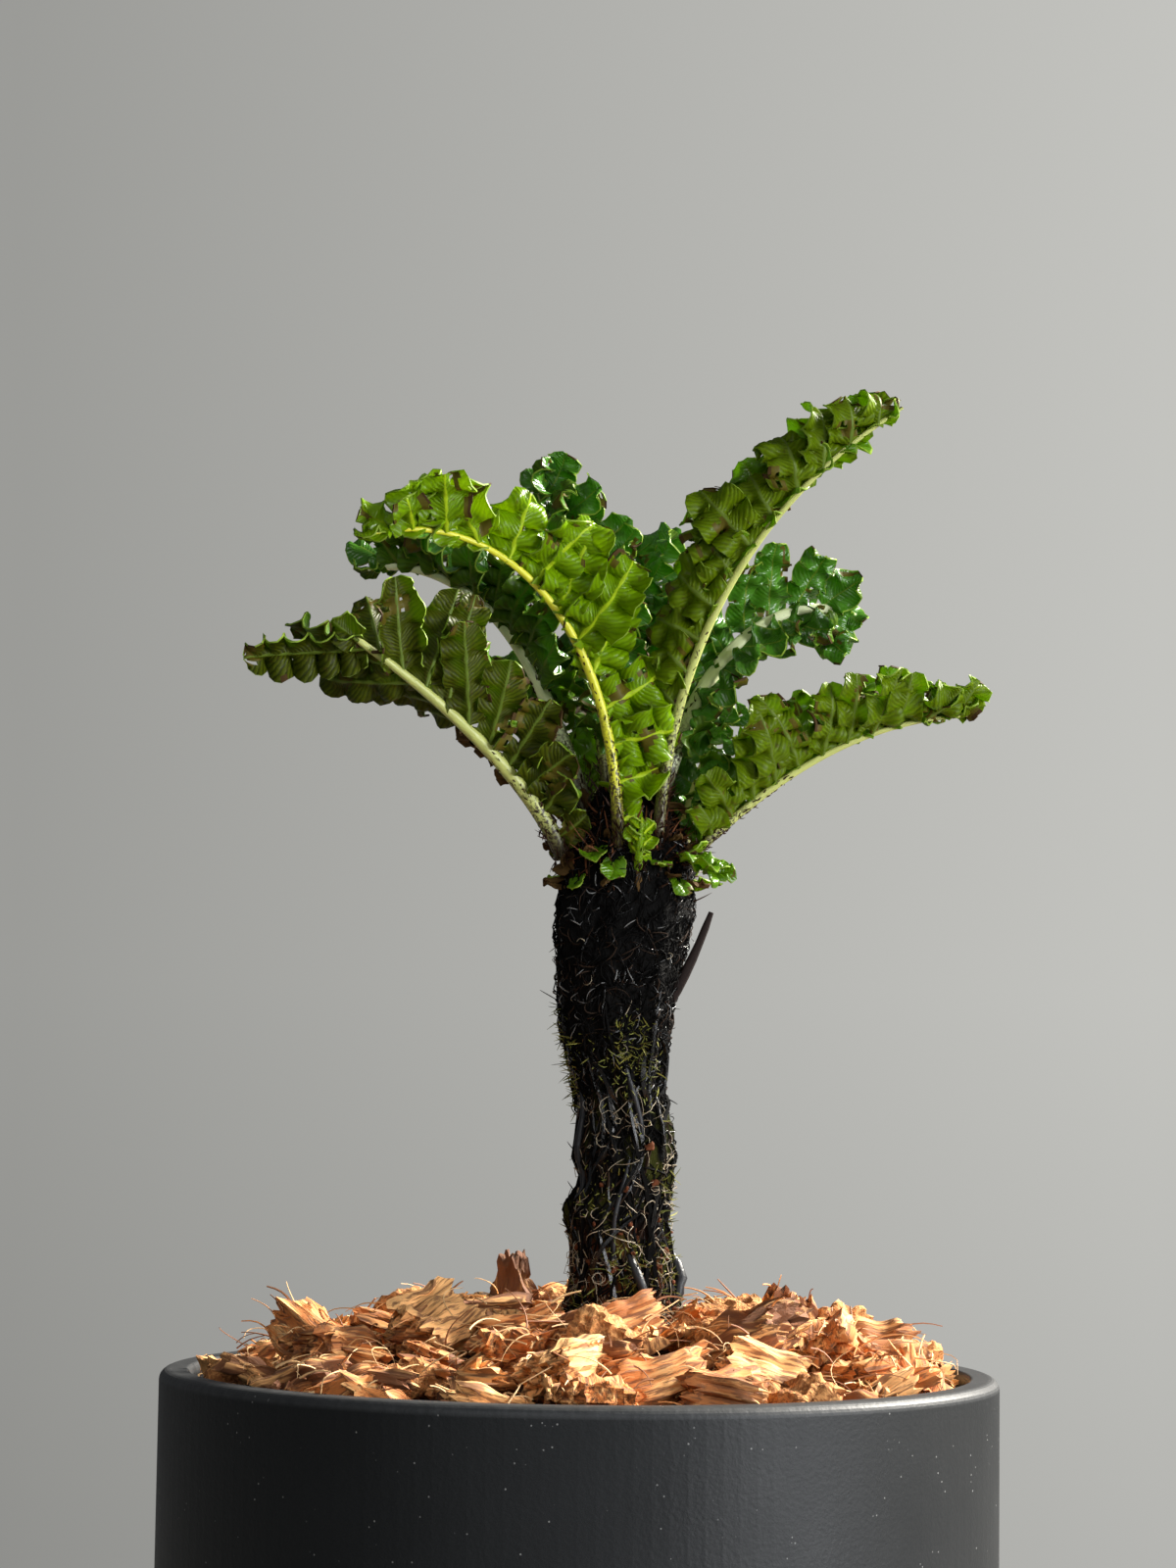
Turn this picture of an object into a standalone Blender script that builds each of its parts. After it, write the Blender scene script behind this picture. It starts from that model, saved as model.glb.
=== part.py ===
"""A dwarf tree fern in a round pot.

Frame: metres, +Z up, +X to the plant's right seen from the front, +Y to its back.
The origin is the centre of the pot's flat underside.

Every piece is one closed solid: the pot, the potting mix with its husk chips, the trunk with a
dead root that stands off it, and the fronds. A frond is a tapering rib that carries two rows of
leaflets, folded up in a V. A frond that bends round a wide gap is cut in two at the bend.
"""

import math
import random
from collections import namedtuple
from dataclasses import dataclass

import bmesh
import bpy
from mathutils import Matrix, Vector
from mathutils.bvhtree import BVHTree

GAP = 0.0003                        # between two pieces that rest on each other

POT_RADIUS = 0.060
POT_HEIGHT = 0.110
POT_WALL = 0.0045
POT_FLOOR = 0.006
RIM_CHAMFER = 0.0015
FOOT_CHAMFER = 0.002
POT_SIDES = 48

MIX_TOP = POT_HEIGHT + 0.004        # the level ground round the trunk's foot
MIX_EDGE_DROP = 0.009               # from there down to the pot's wall
MIX_LEVEL_RADIUS = 0.013
MIX_RADIUS = POT_RADIUS - POT_WALL - GAP
MIX_STEPS = 5                       # of its domed top
MIX_SIDES = 32
CHIP_SIZE = Vector((0.0150, 0.0110, 0.0070))
CHIP_RINGS = ((0.0175, 7), (0.029, 11), (0.0405, 15), (0.0495, 19))    # radius, number of chips
CHIP_SHRINK = 0.07                  # from one ring to the next
CHIP_TILT = 32.0                    # at most, in degrees
CHIP_SEED = 11

TRUNK_X = 0.0058                    # the trunk stands a little to the right of the pot's axis
FOOT_Z = MIX_TOP + GAP              # the trunk's flat cut
TRUNK_SIDES = 18
TRUNK_SHAPE = (                     # height over the foot, radius, lean to the right
    (0.0000, 0.0081, 0.0000),
    (0.0060, 0.0078, 0.0002),
    (0.0120, 0.0073, -0.0003),
    (0.0180, 0.0074, -0.0006),
    (0.0240, 0.0069, 0.0000),
    (0.0310, 0.0068, 0.0001),
    (0.0380, 0.0072, -0.0003),
    (0.0450, 0.0088, -0.0003),
    (0.0520, 0.0100, 0.0001),
    (0.0600, 0.0104, 0.0004),
    (0.0660, 0.0100, 0.0004),
    (0.0705, 0.0087, 0.0003),
    (0.0745, 0.0068, 0.0002),
    (0.0785, 0.0045, 0.0002),
    (0.0820, 0.0018, 0.0002),
)
TRUNK_LUMP = 0.025                  # the fibre mantle's swellings, as a share of the radius
TRUNK_LUMPS = ((1.0, 2, 70), (0.7, 3, -110), (0.6, 5, 160))    # size, waves round, turns per metre
TRUNK_SEED = 4

DEAD_ROOT_LENGTH = 0.0100
DEAD_ROOT_RADIUS = 0.0008
DEAD_ROOT_SIDES = 6
DEAD_ROOT_FOOT = Vector((TRUNK_X + 0.0098, -0.002, FOOT_Z + 0.052))
DEAD_ROOT_WAY = Vector((0.27, 0.0, 1.0)).normalized()
DEAD_ROOT_TAPER = ((0.0, 0.9), (0.25, 1.1), (0.6, 0.95), (1.0, 0.7))    # shares of length, radius

RIB_BASE_RADIUS = 0.0017
RIB_TIP_RADIUS = 0.0006
RIB_POINTS = 13
RIB_STEPS = 96                      # of the rule that draws its middle line
LEAF_THICKNESS = 0.0007
LEAF_STATIONS = ((0.0, 0.38, 0.4), (0.70, 1.0, 1.0))    # shares of the length, width, thickness
LEAF_ARCH = 0.10                    # how far its middle stands out, as a share of the length
LEAF_WIDTH = 0.90                   # of the room along the rib
LEAF_WIDEST = 0.60                  # of the leaflet's own length
LEAF_ANGLE_LOW = 80.0               # between leaflet and rib at the frond's foot, in degrees
LEAF_ANGLE_HIGH = 48.0              # and at its tip
LAST_LEAF = 0.965                   # where on the rib the leaflet at its tip springs
LAST_LEAF_LENGTH = 0.30             # as a share of the longest leaflet's
LEAF_CLEARANCE = 0.0005             # kept to the trunk and to every other frond
LEAF_SHORTENED = (1.0, 0.75, 0.5)   # lengths tried before a leaflet is left out
TAPER = 0.55                        # how much leaflets shorten towards the tip
LENGTH_JITTER = 0.10
ANGLE_JITTER = 5.0                  # in degrees
FROND_SEED = 7


@dataclass
class Frond:
    """Where a frond springs from the trunk, how its rib runs, and how its leaflets stand."""

    name: str
    seat: float                     # where round the trunk it springs, in degrees from +X
    height: float                   # of that place over the trunk's foot
    radius: float                   # of that place from the trunk's axis
    heading: float                  # the way it points, in degrees from +X
    rise: float                     # its slope at the foot, in degrees
    tip: float                      # its slope at the tip
    bend: float                     # over 1 it arches late, under 1 early
    length: float
    pairs: int                      # of leaflets
    reach: float                    # the longest leaflet's length
    fold: float                     # how far the two rows are folded up, in degrees
    swing: float = 0.0              # how far the heading turns on the way to the tip
    roll: float = 0.0               # how far the blade turns round the rib by its tip
    girth: float = 0.8              # of its rib, as a share of the thickest one's
    first: float = 0.10             # where on the rib the leaflets start
    right_from: float = 0.0         # where the right-hand row starts, if later than that
    fullest: float = 0.62           # where on the rib its longest leaflets spring
    left_taper: float = TAPER       # how much its left-hand leaflets shorten towards the tip
    right_taper: float = TAPER      # and its right-hand ones
    split: float = 0.0              # where it is cut in two, if it is


FRONDS = (
    Frond("frond_left_low", seat=200, height=0.069, radius=0.0095, heading=210, rise=76, tip=28,
          bend=0.35, length=0.047, pairs=10, reach=0.0162, fold=26, roll=66, first=0.06,
          right_from=0.50, left_taper=0.75, right_taper=0.0, girth=0.9),
    Frond("frond_front_arching", seat=262, height=0.070, radius=0.0080, heading=233, rise=86, tip=-20,
          bend=1.4, length=0.071, pairs=12, reach=0.0135, fold=56, swing=-24, roll=-14, first=0.05,
          split=0.56, fullest=0.38, left_taper=0.65, right_taper=0.65, girth=0.62),
    Frond("frond_right_tall", seat=310, height=0.072, radius=0.0070, heading=306, rise=85, tip=33,
          bend=1.0, length=0.074, pairs=13, reach=0.0112, fold=52, swing=58, first=0.08,
          girth=0.6),
    Frond("frond_right_back", seat=22, height=0.078, radius=0.0045, heading=24, rise=69, tip=-22,
          bend=2.4, length=0.047, pairs=9, reach=0.0118, fold=10, swing=-16, roll=110, first=0.16,
          split=0.6),
    Frond("frond_right_low", seat=355, height=0.069, radius=0.0085, heading=5, rise=44, tip=2,
          bend=1.6, length=0.049, pairs=11, reach=0.0130, fold=48, first=0.06,
          fullest=0.38, left_taper=0.7, right_taper=0.6, girth=0.55),
    Frond("frond_back_left_tall", seat=122, height=0.078, radius=0.0045, heading=126, rise=80, tip=60,
          bend=0.8, length=0.054, pairs=10, reach=0.0130, fold=40, swing=4, first=0.16),
    Frond("frond_left_back", seat=165, height=0.076, radius=0.0060, heading=162, rise=71, tip=-14,
          bend=2.5, length=0.054, pairs=8, reach=0.0135, fold=35, swing=20, first=0.38, split=0.58,
          girth=1.0),
    Frond("frond_back_upright", seat=75, height=0.079, radius=0.0040, heading=80, rise=68, tip=55,
          bend=0.8, length=0.047, pairs=9, reach=0.0125, fold=45, swing=24, first=0.16),
    Frond("frond_right_short", seat=20, height=0.070, radius=0.0085, heading=50, rise=78, tip=50,
          bend=1.0, length=0.024, pairs=5, reach=0.0085, fold=30),
    Frond("frond_back_low", seat=98, height=0.069, radius=0.0088, heading=100, rise=62, tip=16,
          bend=1.0, length=0.050, pairs=9, reach=0.0150, fold=38, swing=-4),
    Frond("frond_back_right_low", seat=60, height=0.068, radius=0.0088, heading=76, rise=68, tip=20,
          bend=1.2, length=0.046, pairs=9, reach=0.0140, fold=38, swing=4),
    Frond("frond_back_left_low", seat=138, height=0.068, radius=0.0088, heading=128, rise=70, tip=28,
          bend=1.0, length=0.044, pairs=9, reach=0.0145, fold=38, swing=-6),
    Frond("frond_front_young", seat=280, height=0.0675, radius=0.0090, heading=276, rise=50, tip=70,
          bend=1.0, length=0.0075, pairs=3, reach=0.0026, fold=20, first=0.25,
          girth=0.5),
    Frond("frond_right_young", seat=330, height=0.0695, radius=0.0090, heading=318, rise=-5, tip=-55,
          bend=1.0, length=0.008, pairs=3, reach=0.0046, fold=10, first=0.25,
          girth=0.5),
)
Leaf = namedtuple("Leaf", "t root way across normal length width")


# ------------------------------------------------------------------ plain helpers

def new_material(name, colour, roughness, metallic=0.0):
    material = bpy.data.materials.new(name)
    material.use_nodes = True
    shader = material.node_tree.nodes["Principled BSDF"]
    shader.inputs["Base Color"].default_value = (*colour, 1.0)
    shader.inputs["Roughness"].default_value = roughness
    shader.inputs["Metallic"].default_value = metallic
    return material


def new_object(name, mesh, collection, material=None):
    thing = bpy.data.objects.new(name, mesh)
    collection.objects.link(thing)
    if material:
        mesh.materials.append(material)
    return thing


def smooth_but_for_corners(mesh, degrees=30.0):
    mesh.shade_smooth()
    mesh.set_sharp_from_angle(angle=math.radians(degrees))


def in_triangles(mesh):
    """Splits every face, so that each is flat and a Boolean leaves no cracks."""
    work = bmesh.new()
    work.from_mesh(mesh)
    bmesh.ops.triangulate(work, faces=work.faces)
    work.to_mesh(mesh)
    work.free()
    return mesh


def weld(mesh):
    """Merges the doubled corners where a curve's cap meets its side."""
    work = bmesh.new()
    work.from_mesh(mesh)
    bmesh.ops.remove_doubles(work, verts=work.verts, dist=1e-6)
    work.to_mesh(mesh)
    work.free()


def apply_modifiers(thing):
    """Replaces the object's mesh by the one that its modifiers make."""
    graph = bpy.context.evaluated_depsgraph_get()
    graph.update()
    made = bpy.data.meshes.new_from_object(thing.evaluated_get(graph))
    thing.modifiers.clear()
    thing.data = made


def lofted(rings, name, tip=None):
    """A closed mesh through rings of equally many points, with flat ends or a pointed tip."""
    sides = len(rings[0])
    last = (len(rings) - 1) * sides
    points = [point for ring in rings for point in ring]
    faces = [tuple(reversed(range(sides)))]
    for k in range(0, last, sides):
        for i in range(sides):
            j = (i + 1) % sides
            faces.append((k + i, k + j, k + sides + j, k + sides + i))
    if tip is None:
        faces.append(tuple(range(last, last + sides)))
    else:
        points.append(tip)
        faces += [(last + i, last + (i + 1) % sides, last + sides) for i in range(sides)]
    mesh = bpy.data.meshes.new(name)
    mesh.from_pydata([tuple(point) for point in points], [], faces)
    return in_triangles(mesh)


def turned(name, profile, sides, collection, material):
    """A solid of revolution about Z, from (radius, height) pairs that run down its outer side."""
    points = [(radius, 0.0, height) for radius, height in profile]
    mesh = bpy.data.meshes.new(name)
    mesh.from_pydata(points, [(i, i + 1) for i in range(len(points) - 1)], [])
    thing = new_object(name, mesh, collection, material)
    screw = thing.modifiers.new("turn", "SCREW")
    screw.steps = sides
    screw.render_steps = sides
    screw.use_merge_vertices = True
    screw.merge_threshold = 0.0001
    apply_modifiers(thing)
    smooth_but_for_corners(thing.data)
    return thing


def join_by_union(thing, helpers):
    """One Boolean union of the object with every object of a collection, which is then emptied."""
    union = thing.modifiers.new("join", "BOOLEAN")
    union.operation = "UNION"
    union.operand_type = "COLLECTION"
    union.collection = helpers
    apply_modifiers(thing)
    for helper in list(helpers.objects):
        bpy.data.objects.remove(helper)


def cut(thing, cutter):
    difference = thing.modifiers.new("cut", "BOOLEAN")
    difference.operation = "DIFFERENCE"
    difference.object = cutter
    apply_modifiers(thing)


def keep_largest_piece(mesh):
    """Keeps the faces that hang together by their edges, so no scrap of a cut stays."""
    work = bmesh.new()
    work.from_mesh(mesh)
    left, pieces = set(work.faces), []
    while left:
        piece, front = set(), [left.pop()]
        while front:
            face = front.pop()
            piece.add(face)
            near = {other for edge in face.edges for other in edge.link_faces} & left
            left -= near
            front += near
        pieces.append(piece)
    pieces.sort(key=len)
    scraps = [face for piece in pieces[:-1] for face in piece]
    bmesh.ops.delete(work, geom=scraps, context="FACES")
    work.to_mesh(mesh)
    work.free()


def tree_of(mesh):
    """A tree of the mesh's faces, for overlap tests."""
    return BVHTree.FromPolygons([v.co for v in mesh.vertices], [p.vertices for p in mesh.polygons])


# ------------------------------------------------------------------ pot and potting mix

def make_pot(parts, material):
    inside = POT_RADIUS - POT_WALL
    profile = (
        (0.0, POT_FLOOR),
        (inside, POT_FLOOR),
        (inside, POT_HEIGHT - RIM_CHAMFER / 2),
        (inside + RIM_CHAMFER / 2, POT_HEIGHT),
        (POT_RADIUS - RIM_CHAMFER, POT_HEIGHT),
        (POT_RADIUS, POT_HEIGHT - RIM_CHAMFER),
        (POT_RADIUS, FOOT_CHAMFER),
        (POT_RADIUS - FOOT_CHAMFER, 0.0),
        (0.0, 0.0),
    )
    turned("pot", profile, POT_SIDES, parts, material)


def mix_height(radius):
    """The mound's surface: level round the trunk, then falling to the pot's wall."""
    share = max(0.0, radius - MIX_LEVEL_RADIUS) / (MIX_RADIUS - MIX_LEVEL_RADIUS)
    return MIX_TOP - MIX_EDGE_DROP * share**1.6


def chip_mesh(size, tilts, turn, place, dice):
    """A husk chip: a box with uneven corners, slid inwards where it would meet the pot."""
    work = bmesh.new()
    bmesh.ops.create_cube(work, size=1.0)
    for corner in work.verts:
        corner.co.xy *= dice.uniform(0.72, 1.0)
        corner.co *= size
    mesh = bpy.data.meshes.new("chip")
    work.to_mesh(mesh)
    work.free()
    tilted = Matrix.Rotation(tilts[0], 4, "X") @ Matrix.Rotation(tilts[1], 4, "Y")
    mesh.transform(Matrix.Translation(place) @ Matrix.Rotation(turn, 4, "Z") @ tilted)
    too_far = max(corner.co.xy.length for corner in mesh.vertices) - MIX_RADIUS
    if too_far > 0:
        inwards = -place.xy.normalized() * too_far
        mesh.transform(Matrix.Translation((*inwards, 0.0)))
    return in_triangles(mesh)


def make_chips(helpers):
    """Husk chips in rings round the trunk, larger near it, each tilted its own way."""
    dice = random.Random(CHIP_SEED)
    last_ring = len(CHIP_RINGS) - 1
    for ring, (radius, count) in enumerate(CHIP_RINGS):
        start = dice.uniform(0, math.tau)
        middle = TRUNK_X * (1 - ring / last_ring)
        for k in range(count):
            angle = start + math.tau * (k + dice.uniform(-0.25, 0.25)) / count
            reach = radius + dice.uniform(-0.002, 0.002)
            size = Vector([side * (1 - ring * CHIP_SHRINK) * dice.uniform(0.8, 1.2) for side in CHIP_SIZE])
            height = mix_height(reach) + dice.uniform(0.1, 0.75) * size.z
            place = Vector((middle + reach * math.cos(angle), reach * math.sin(angle), height))
            tilts = [math.radians(dice.uniform(-CHIP_TILT, CHIP_TILT)) for _ in range(2)]
            turn = dice.uniform(0, math.tau)
            new_object("chip", chip_mesh(size, tilts, turn, place, dice), helpers)


def make_potting_mix(parts, helpers, space, material):
    foot = POT_FLOOR + GAP
    width = MIX_RADIUS - MIX_LEVEL_RADIUS
    radii = [MIX_LEVEL_RADIUS + width * k / MIX_STEPS for k in range(MIX_STEPS + 1)]
    dome = [(0.0, MIX_TOP)] + [(radius, mix_height(radius)) for radius in radii]
    mix = turned("potting_mix", dome + [(MIX_RADIUS, foot), (0.0, foot)], MIX_SIDES, parts, material)
    make_chips(helpers)
    join_by_union(mix, helpers)
    cut(mix, space)
    keep_largest_piece(mix.data)
    return mix


# ------------------------------------------------------------------ trunk

def trunk_rings(grown=0.0):
    """Rings of points up the trunk, with the mantle's swellings."""
    dice = random.Random(TRUNK_SEED)
    starts = [dice.uniform(0, math.tau) for _ in TRUNK_LUMPS]
    rings = []
    for height, radius, lean in TRUNK_SHAPE:
        ring = []
        for i in range(TRUNK_SIDES):
            angle = math.tau * i / TRUNK_SIDES
            lump = sum(
                size * math.sin(waves * angle + turns * height + start)
                for (size, waves, turns), start in zip(TRUNK_LUMPS, starts)
            )
            out = radius * (1 + TRUNK_LUMP * lump) + grown
            x, y = TRUNK_X + lean + out * math.cos(angle), out * math.sin(angle)
            ring.append(Vector((x, y, FOOT_Z + height)))
        rings.append(ring)
    return rings


def dead_root_mesh():
    """A dead root that stands off the trunk's right side, pointing up."""
    rings = []
    for share, width in DEAD_ROOT_TAPER:
        middle = DEAD_ROOT_FOOT + DEAD_ROOT_WAY * DEAD_ROOT_LENGTH * share
        ring = []
        for i in range(DEAD_ROOT_SIDES):
            angle = math.tau * i / DEAD_ROOT_SIDES
            out = Vector((math.cos(angle), math.sin(angle), 0.0))
            ring.append(middle + out * DEAD_ROOT_RADIUS * width)
        rings.append(ring)
    return lofted(rings, "dead_root")


def make_trunk(parts, helpers, material):
    trunk = new_object("trunk", lofted(trunk_rings(), "trunk"), parts, material)
    new_object("dead_root", dead_root_mesh(), helpers)
    join_by_union(trunk, helpers)
    smooth_but_for_corners(trunk.data, 50.0)


def make_trunk_space(cutters):
    """The trunk grown by the gap, which keeps the mix and the fronds' feet clear of it."""
    rings = trunk_rings(GAP)
    below = [point - Vector((0, 0, GAP)) for point in rings[0]]
    above = [point + Vector((0, 0, GAP)) for point in rings[-1]]
    space = new_object("trunk_space", lofted([below, *rings[1:], above], "trunk_space"), cutters)
    space.hide_render = True
    space.display_type = "WIRE"
    return space


# ------------------------------------------------------------------ fronds

def rib_direction(frond, t):
    slope = math.radians(frond.rise + (frond.tip - frond.rise) * t**frond.bend)
    turn = math.radians(frond.heading + frond.swing * t)
    level = Vector((math.cos(turn), math.sin(turn), 0.0))
    return level * math.cos(slope) + Vector((0, 0, math.sin(slope)))


def rib_line(frond):
    """Points along the rib's middle line, from the trunk to the tip."""
    seat = math.radians(frond.seat)
    out = Vector((math.cos(seat), math.sin(seat), 0.0)) * frond.radius
    points = [Vector((TRUNK_X, 0.0, FOOT_Z + frond.height)) + out]
    for k in range(RIB_STEPS):
        step = rib_direction(frond, (k + 0.5) / RIB_STEPS) * (frond.length / RIB_STEPS)
        points.append(points[-1] + step)
    return points


def at(line, t):
    place = t * (len(line) - 1)
    k = min(int(place), len(line) - 2)
    return line[k].lerp(line[k + 1], place - k)


def rib_radius(frond, t):
    return frond.girth * (RIB_BASE_RADIUS + (RIB_TIP_RADIUS - RIB_BASE_RADIUS) * t**0.8)


def rib_mesh(frond, line, start, end, collection):
    """A tapering tube along a stretch of the rib: a curve with filled caps, made a mesh."""
    curve = bpy.data.curves.new("rib", "CURVE")
    curve.dimensions = "3D"
    curve.bevel_depth = 1.0
    curve.bevel_resolution = 0
    curve.use_fill_caps = True
    spline = curve.splines.new("POLY")
    count = max(4, round(RIB_POINTS * (end - start)))
    spline.points.add(count)
    for k, point in enumerate(spline.points):
        t = start + (end - start) * k / count
        point.co = (*at(line, t), 1.0)
        point.radius = rib_radius(frond, t)
    drawn = bpy.data.objects.new("rib", curve)
    collection.objects.link(drawn)
    graph = bpy.context.evaluated_depsgraph_get()
    mesh = bpy.data.meshes.new_from_object(drawn.evaluated_get(graph))
    bpy.data.objects.remove(drawn)
    weld(mesh)
    return in_triangles(mesh)


def blade_axes(frond, t):
    """The rib's direction at t, and the blade's sideways and upper directions there."""
    along = rib_direction(frond, t)
    side = along.cross(Vector((0, 0, 1))).normalized()
    roll = Matrix.Rotation(math.radians(frond.roll * t), 3, along)
    return along, roll @ side, roll @ side.cross(along)


def length_share(frond, t, taper):
    """How a leaflet's length grows from the frond's foot and shrinks again towards its tip."""
    rising = min(t / frond.fullest, 1.0)
    falling = max(0.0, (t - frond.fullest) / (1 - frond.fullest))
    return (0.30 + 0.70 * rising * rising * (3 - 2 * rising)) * (1 - taper * falling**1.5)


def leaflets_of(frond, line):
    """Seeded leaflets in two rows, and one at the tip. Side 1 is the right-hand row."""
    dice = random.Random(FROND_SEED + sum(map(ord, frond.name)))
    spacing = (LAST_LEAF - frond.first) / frond.pairs
    for i in range(frond.pairs):
        for side in (-1, 1):
            t = frond.first + spacing * (i + 0.25 * side + 0.4)
            along, sideways, upper = blade_axes(frond, t)
            angle = LEAF_ANGLE_LOW + (LEAF_ANGLE_HIGH - LEAF_ANGLE_LOW) * t
            lean = math.radians(angle + dice.uniform(-ANGLE_JITTER, ANGLE_JITTER))
            fold = math.radians(frond.fold + dice.uniform(-ANGLE_JITTER, ANGLE_JITTER))
            out = sideways * (side * math.cos(fold)) + upper * math.sin(fold)
            way = along * math.cos(lean) + out * math.sin(lean)
            normal = (way.cross(along) * side).normalized()
            longer = 1 + dice.uniform(-LENGTH_JITTER, LENGTH_JITTER)
            taper = frond.right_taper if side > 0 else frond.left_taper
            length = frond.reach * length_share(frond, t, taper) * longer
            width = min(spacing * frond.length * LEAF_WIDTH, length * LEAF_WIDEST)
            if side < 0 or t > frond.right_from:
                yield Leaf(t, at(line, t), way, normal.cross(way), normal, length, width)
    along, sideways, upper = blade_axes(frond, LAST_LEAF)
    length = frond.reach * LAST_LEAF_LENGTH
    width = length * LEAF_WIDEST
    yield Leaf(LAST_LEAF, at(line, LAST_LEAF), along, -sideways, upper, length, width)


def leaflet_mesh(leaf, share, grown=0.0):
    """A thin leaflet: at each station two edges and the vein below them, then a pointed tip."""
    length = leaf.length * share
    rings = []
    for s, wide, thick in LEAF_STATIONS:
        arch = leaf.normal * (length * LEAF_ARCH * math.sin(math.pi * s))
        middle = leaf.root + leaf.way * (length * s) + arch
        half = leaf.across * (leaf.width / 2 * wide + grown)
        lift = leaf.normal * grown
        vein = leaf.normal * (LEAF_THICKNESS * thick + grown)
        rings.append([middle - half + lift, middle - vein, middle + half + lift])
    return lofted(rings, "leaflet", leaf.root + leaf.way * (length + grown))


def leaflet_tree(leaf, share, grown=0.0):
    mesh = leaflet_mesh(leaf, share, grown)
    tree = tree_of(mesh)
    bpy.data.meshes.remove(mesh)
    return tree


def free_length(leaf, others):
    """The first of the lengths to try at which the leaflet keeps clear of the others, or None."""
    for share in LEAF_SHORTENED:
        tree = leaflet_tree(leaf, share, LEAF_CLEARANCE / 2)
        if not any(tree.overlap(other) for other in others):
            return share
    return None


def rib_tree(frond, line, start, end):
    """The rib with the clearance round it, which other fronds' leaflets stay out of."""
    rings = []
    for k in range(RIB_POINTS + 1):
        t = start + (end - start) * k / RIB_POINTS
        _, sideways, upper = blade_axes(frond, t)
        radius = rib_radius(frond, t) + LEAF_CLEARANCE
        corners = ((1, 1), (-1, 1), (-1, -1), (1, -1))
        rings.append([at(line, t) + (sideways * a + upper * b) * radius for a, b in corners])
    return tree_of(lofted(rings, "rib_space"))


def sections_of(frond):
    """(node's name, start, end) of each solid of a frond."""
    if not frond.split:
        return [(frond.name, 0.0, 1.0)]
    half_gap = GAP / frond.length / 2
    return [
        (frond.name + "_lower", 0.0, frond.split - half_gap),
        (frond.name + "_upper", frond.split + half_gap, 1.0),
    ]


def make_fronds(parts, helpers, space, mix, material):
    """Ribs first, so that no leaflet grows into another frond's rib, then the leaflets."""
    sections = [(frond, *section) for frond in FRONDS for section in sections_of(frond)]
    ribs = {
        name: rib_tree(frond, rib_line(frond), start, end) for frond, name, start, end in sections
    }
    taken = [tree_of(space.data), tree_of(mix.data)]
    edge = 0.01                     # of a section, where no leaflet springs
    for frond, name, start, end in sections:
        line = rib_line(frond)
        blade = new_object(name, rib_mesh(frond, line, start, end, helpers), parts, material)
        others = taken + [tree for other, tree in ribs.items() if other != name]
        for leaf in leaflets_of(frond, line):
            share = free_length(leaf, others) if start + edge < leaf.t < end - edge else None
            if share:
                new_object("leaflet", leaflet_mesh(leaf, share), helpers)
                others.append(leaflet_tree(leaf, share))
                taken.append(leaflet_tree(leaf, share, LEAF_CLEARANCE / 2))
        join_by_union(blade, helpers)
        if start == 0.0:
            cut(blade, space)
        keep_largest_piece(blade.data)


def main():
    for thing in list(bpy.data.objects):
        bpy.data.objects.remove(thing)
    parts, cutters, helpers = (
        bpy.data.collections.new(name) for name in ("dwarf_tree_fern", "cutters", "helpers")
    )
    for collection in (parts, cutters, helpers):
        bpy.context.scene.collection.children.link(collection)

    clay = new_material("matt_glazed_clay", (0.045, 0.050, 0.055), 0.55)
    husk = new_material("coconut_husk", (0.45, 0.22, 0.09), 0.9)
    fibre = new_material("black_root_fibre", (0.012, 0.011, 0.010), 0.7)
    green = new_material("crisped_leaf", (0.10, 0.22, 0.02), 0.4)

    make_pot(parts, clay)
    make_trunk(parts, helpers, fibre)
    space = make_trunk_space(cutters)
    mix = make_potting_mix(parts, helpers, space, husk)
    make_fronds(parts, helpers, space, mix, green)
    bpy.data.collections.remove(helpers)


main()
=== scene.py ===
"""The looks of a young dwarf tree fern in a round pot.

The plant stands in the frame of its solids: metres, +Z up, +X to the plant's right seen from the
front, +Y to its back, and the origin under the pot. Every frond, chip and root is grown here by the
same rule as its solid, only finer, and takes the solid's place.
"""

import math
import random
from collections import namedtuple
from dataclasses import dataclass

import bpy
import numpy as np
from bpy.props import FloatProperty, FloatVectorProperty, IntProperty, PointerProperty
from mathutils import Matrix, Vector


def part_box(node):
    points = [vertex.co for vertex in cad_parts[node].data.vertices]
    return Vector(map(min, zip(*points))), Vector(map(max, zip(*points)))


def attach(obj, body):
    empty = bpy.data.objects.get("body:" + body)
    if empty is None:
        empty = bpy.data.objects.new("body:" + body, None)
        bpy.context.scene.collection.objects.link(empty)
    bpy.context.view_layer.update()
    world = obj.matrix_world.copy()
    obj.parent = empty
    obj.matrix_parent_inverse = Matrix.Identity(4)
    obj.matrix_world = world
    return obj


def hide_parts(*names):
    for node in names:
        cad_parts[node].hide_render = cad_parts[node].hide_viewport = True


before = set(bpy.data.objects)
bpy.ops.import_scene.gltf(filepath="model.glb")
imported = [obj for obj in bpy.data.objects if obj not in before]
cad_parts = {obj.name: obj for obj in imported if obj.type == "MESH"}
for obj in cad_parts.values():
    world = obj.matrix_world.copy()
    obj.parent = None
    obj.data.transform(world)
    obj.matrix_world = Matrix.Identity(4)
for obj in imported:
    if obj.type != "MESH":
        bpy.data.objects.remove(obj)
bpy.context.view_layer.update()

bl_info = {
    "name": "Potted dwarf tree fern",
    "version": (1, 0, 0),
    "blender": (4, 5, 0),
    "location": "3D View > Sidebar > Fern",
    "description": "Grows a dwarf tree fern in a pot of husk chips round its solids",
    "category": "Add Mesh",
}

# ---- sizes that the frame gives

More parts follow.
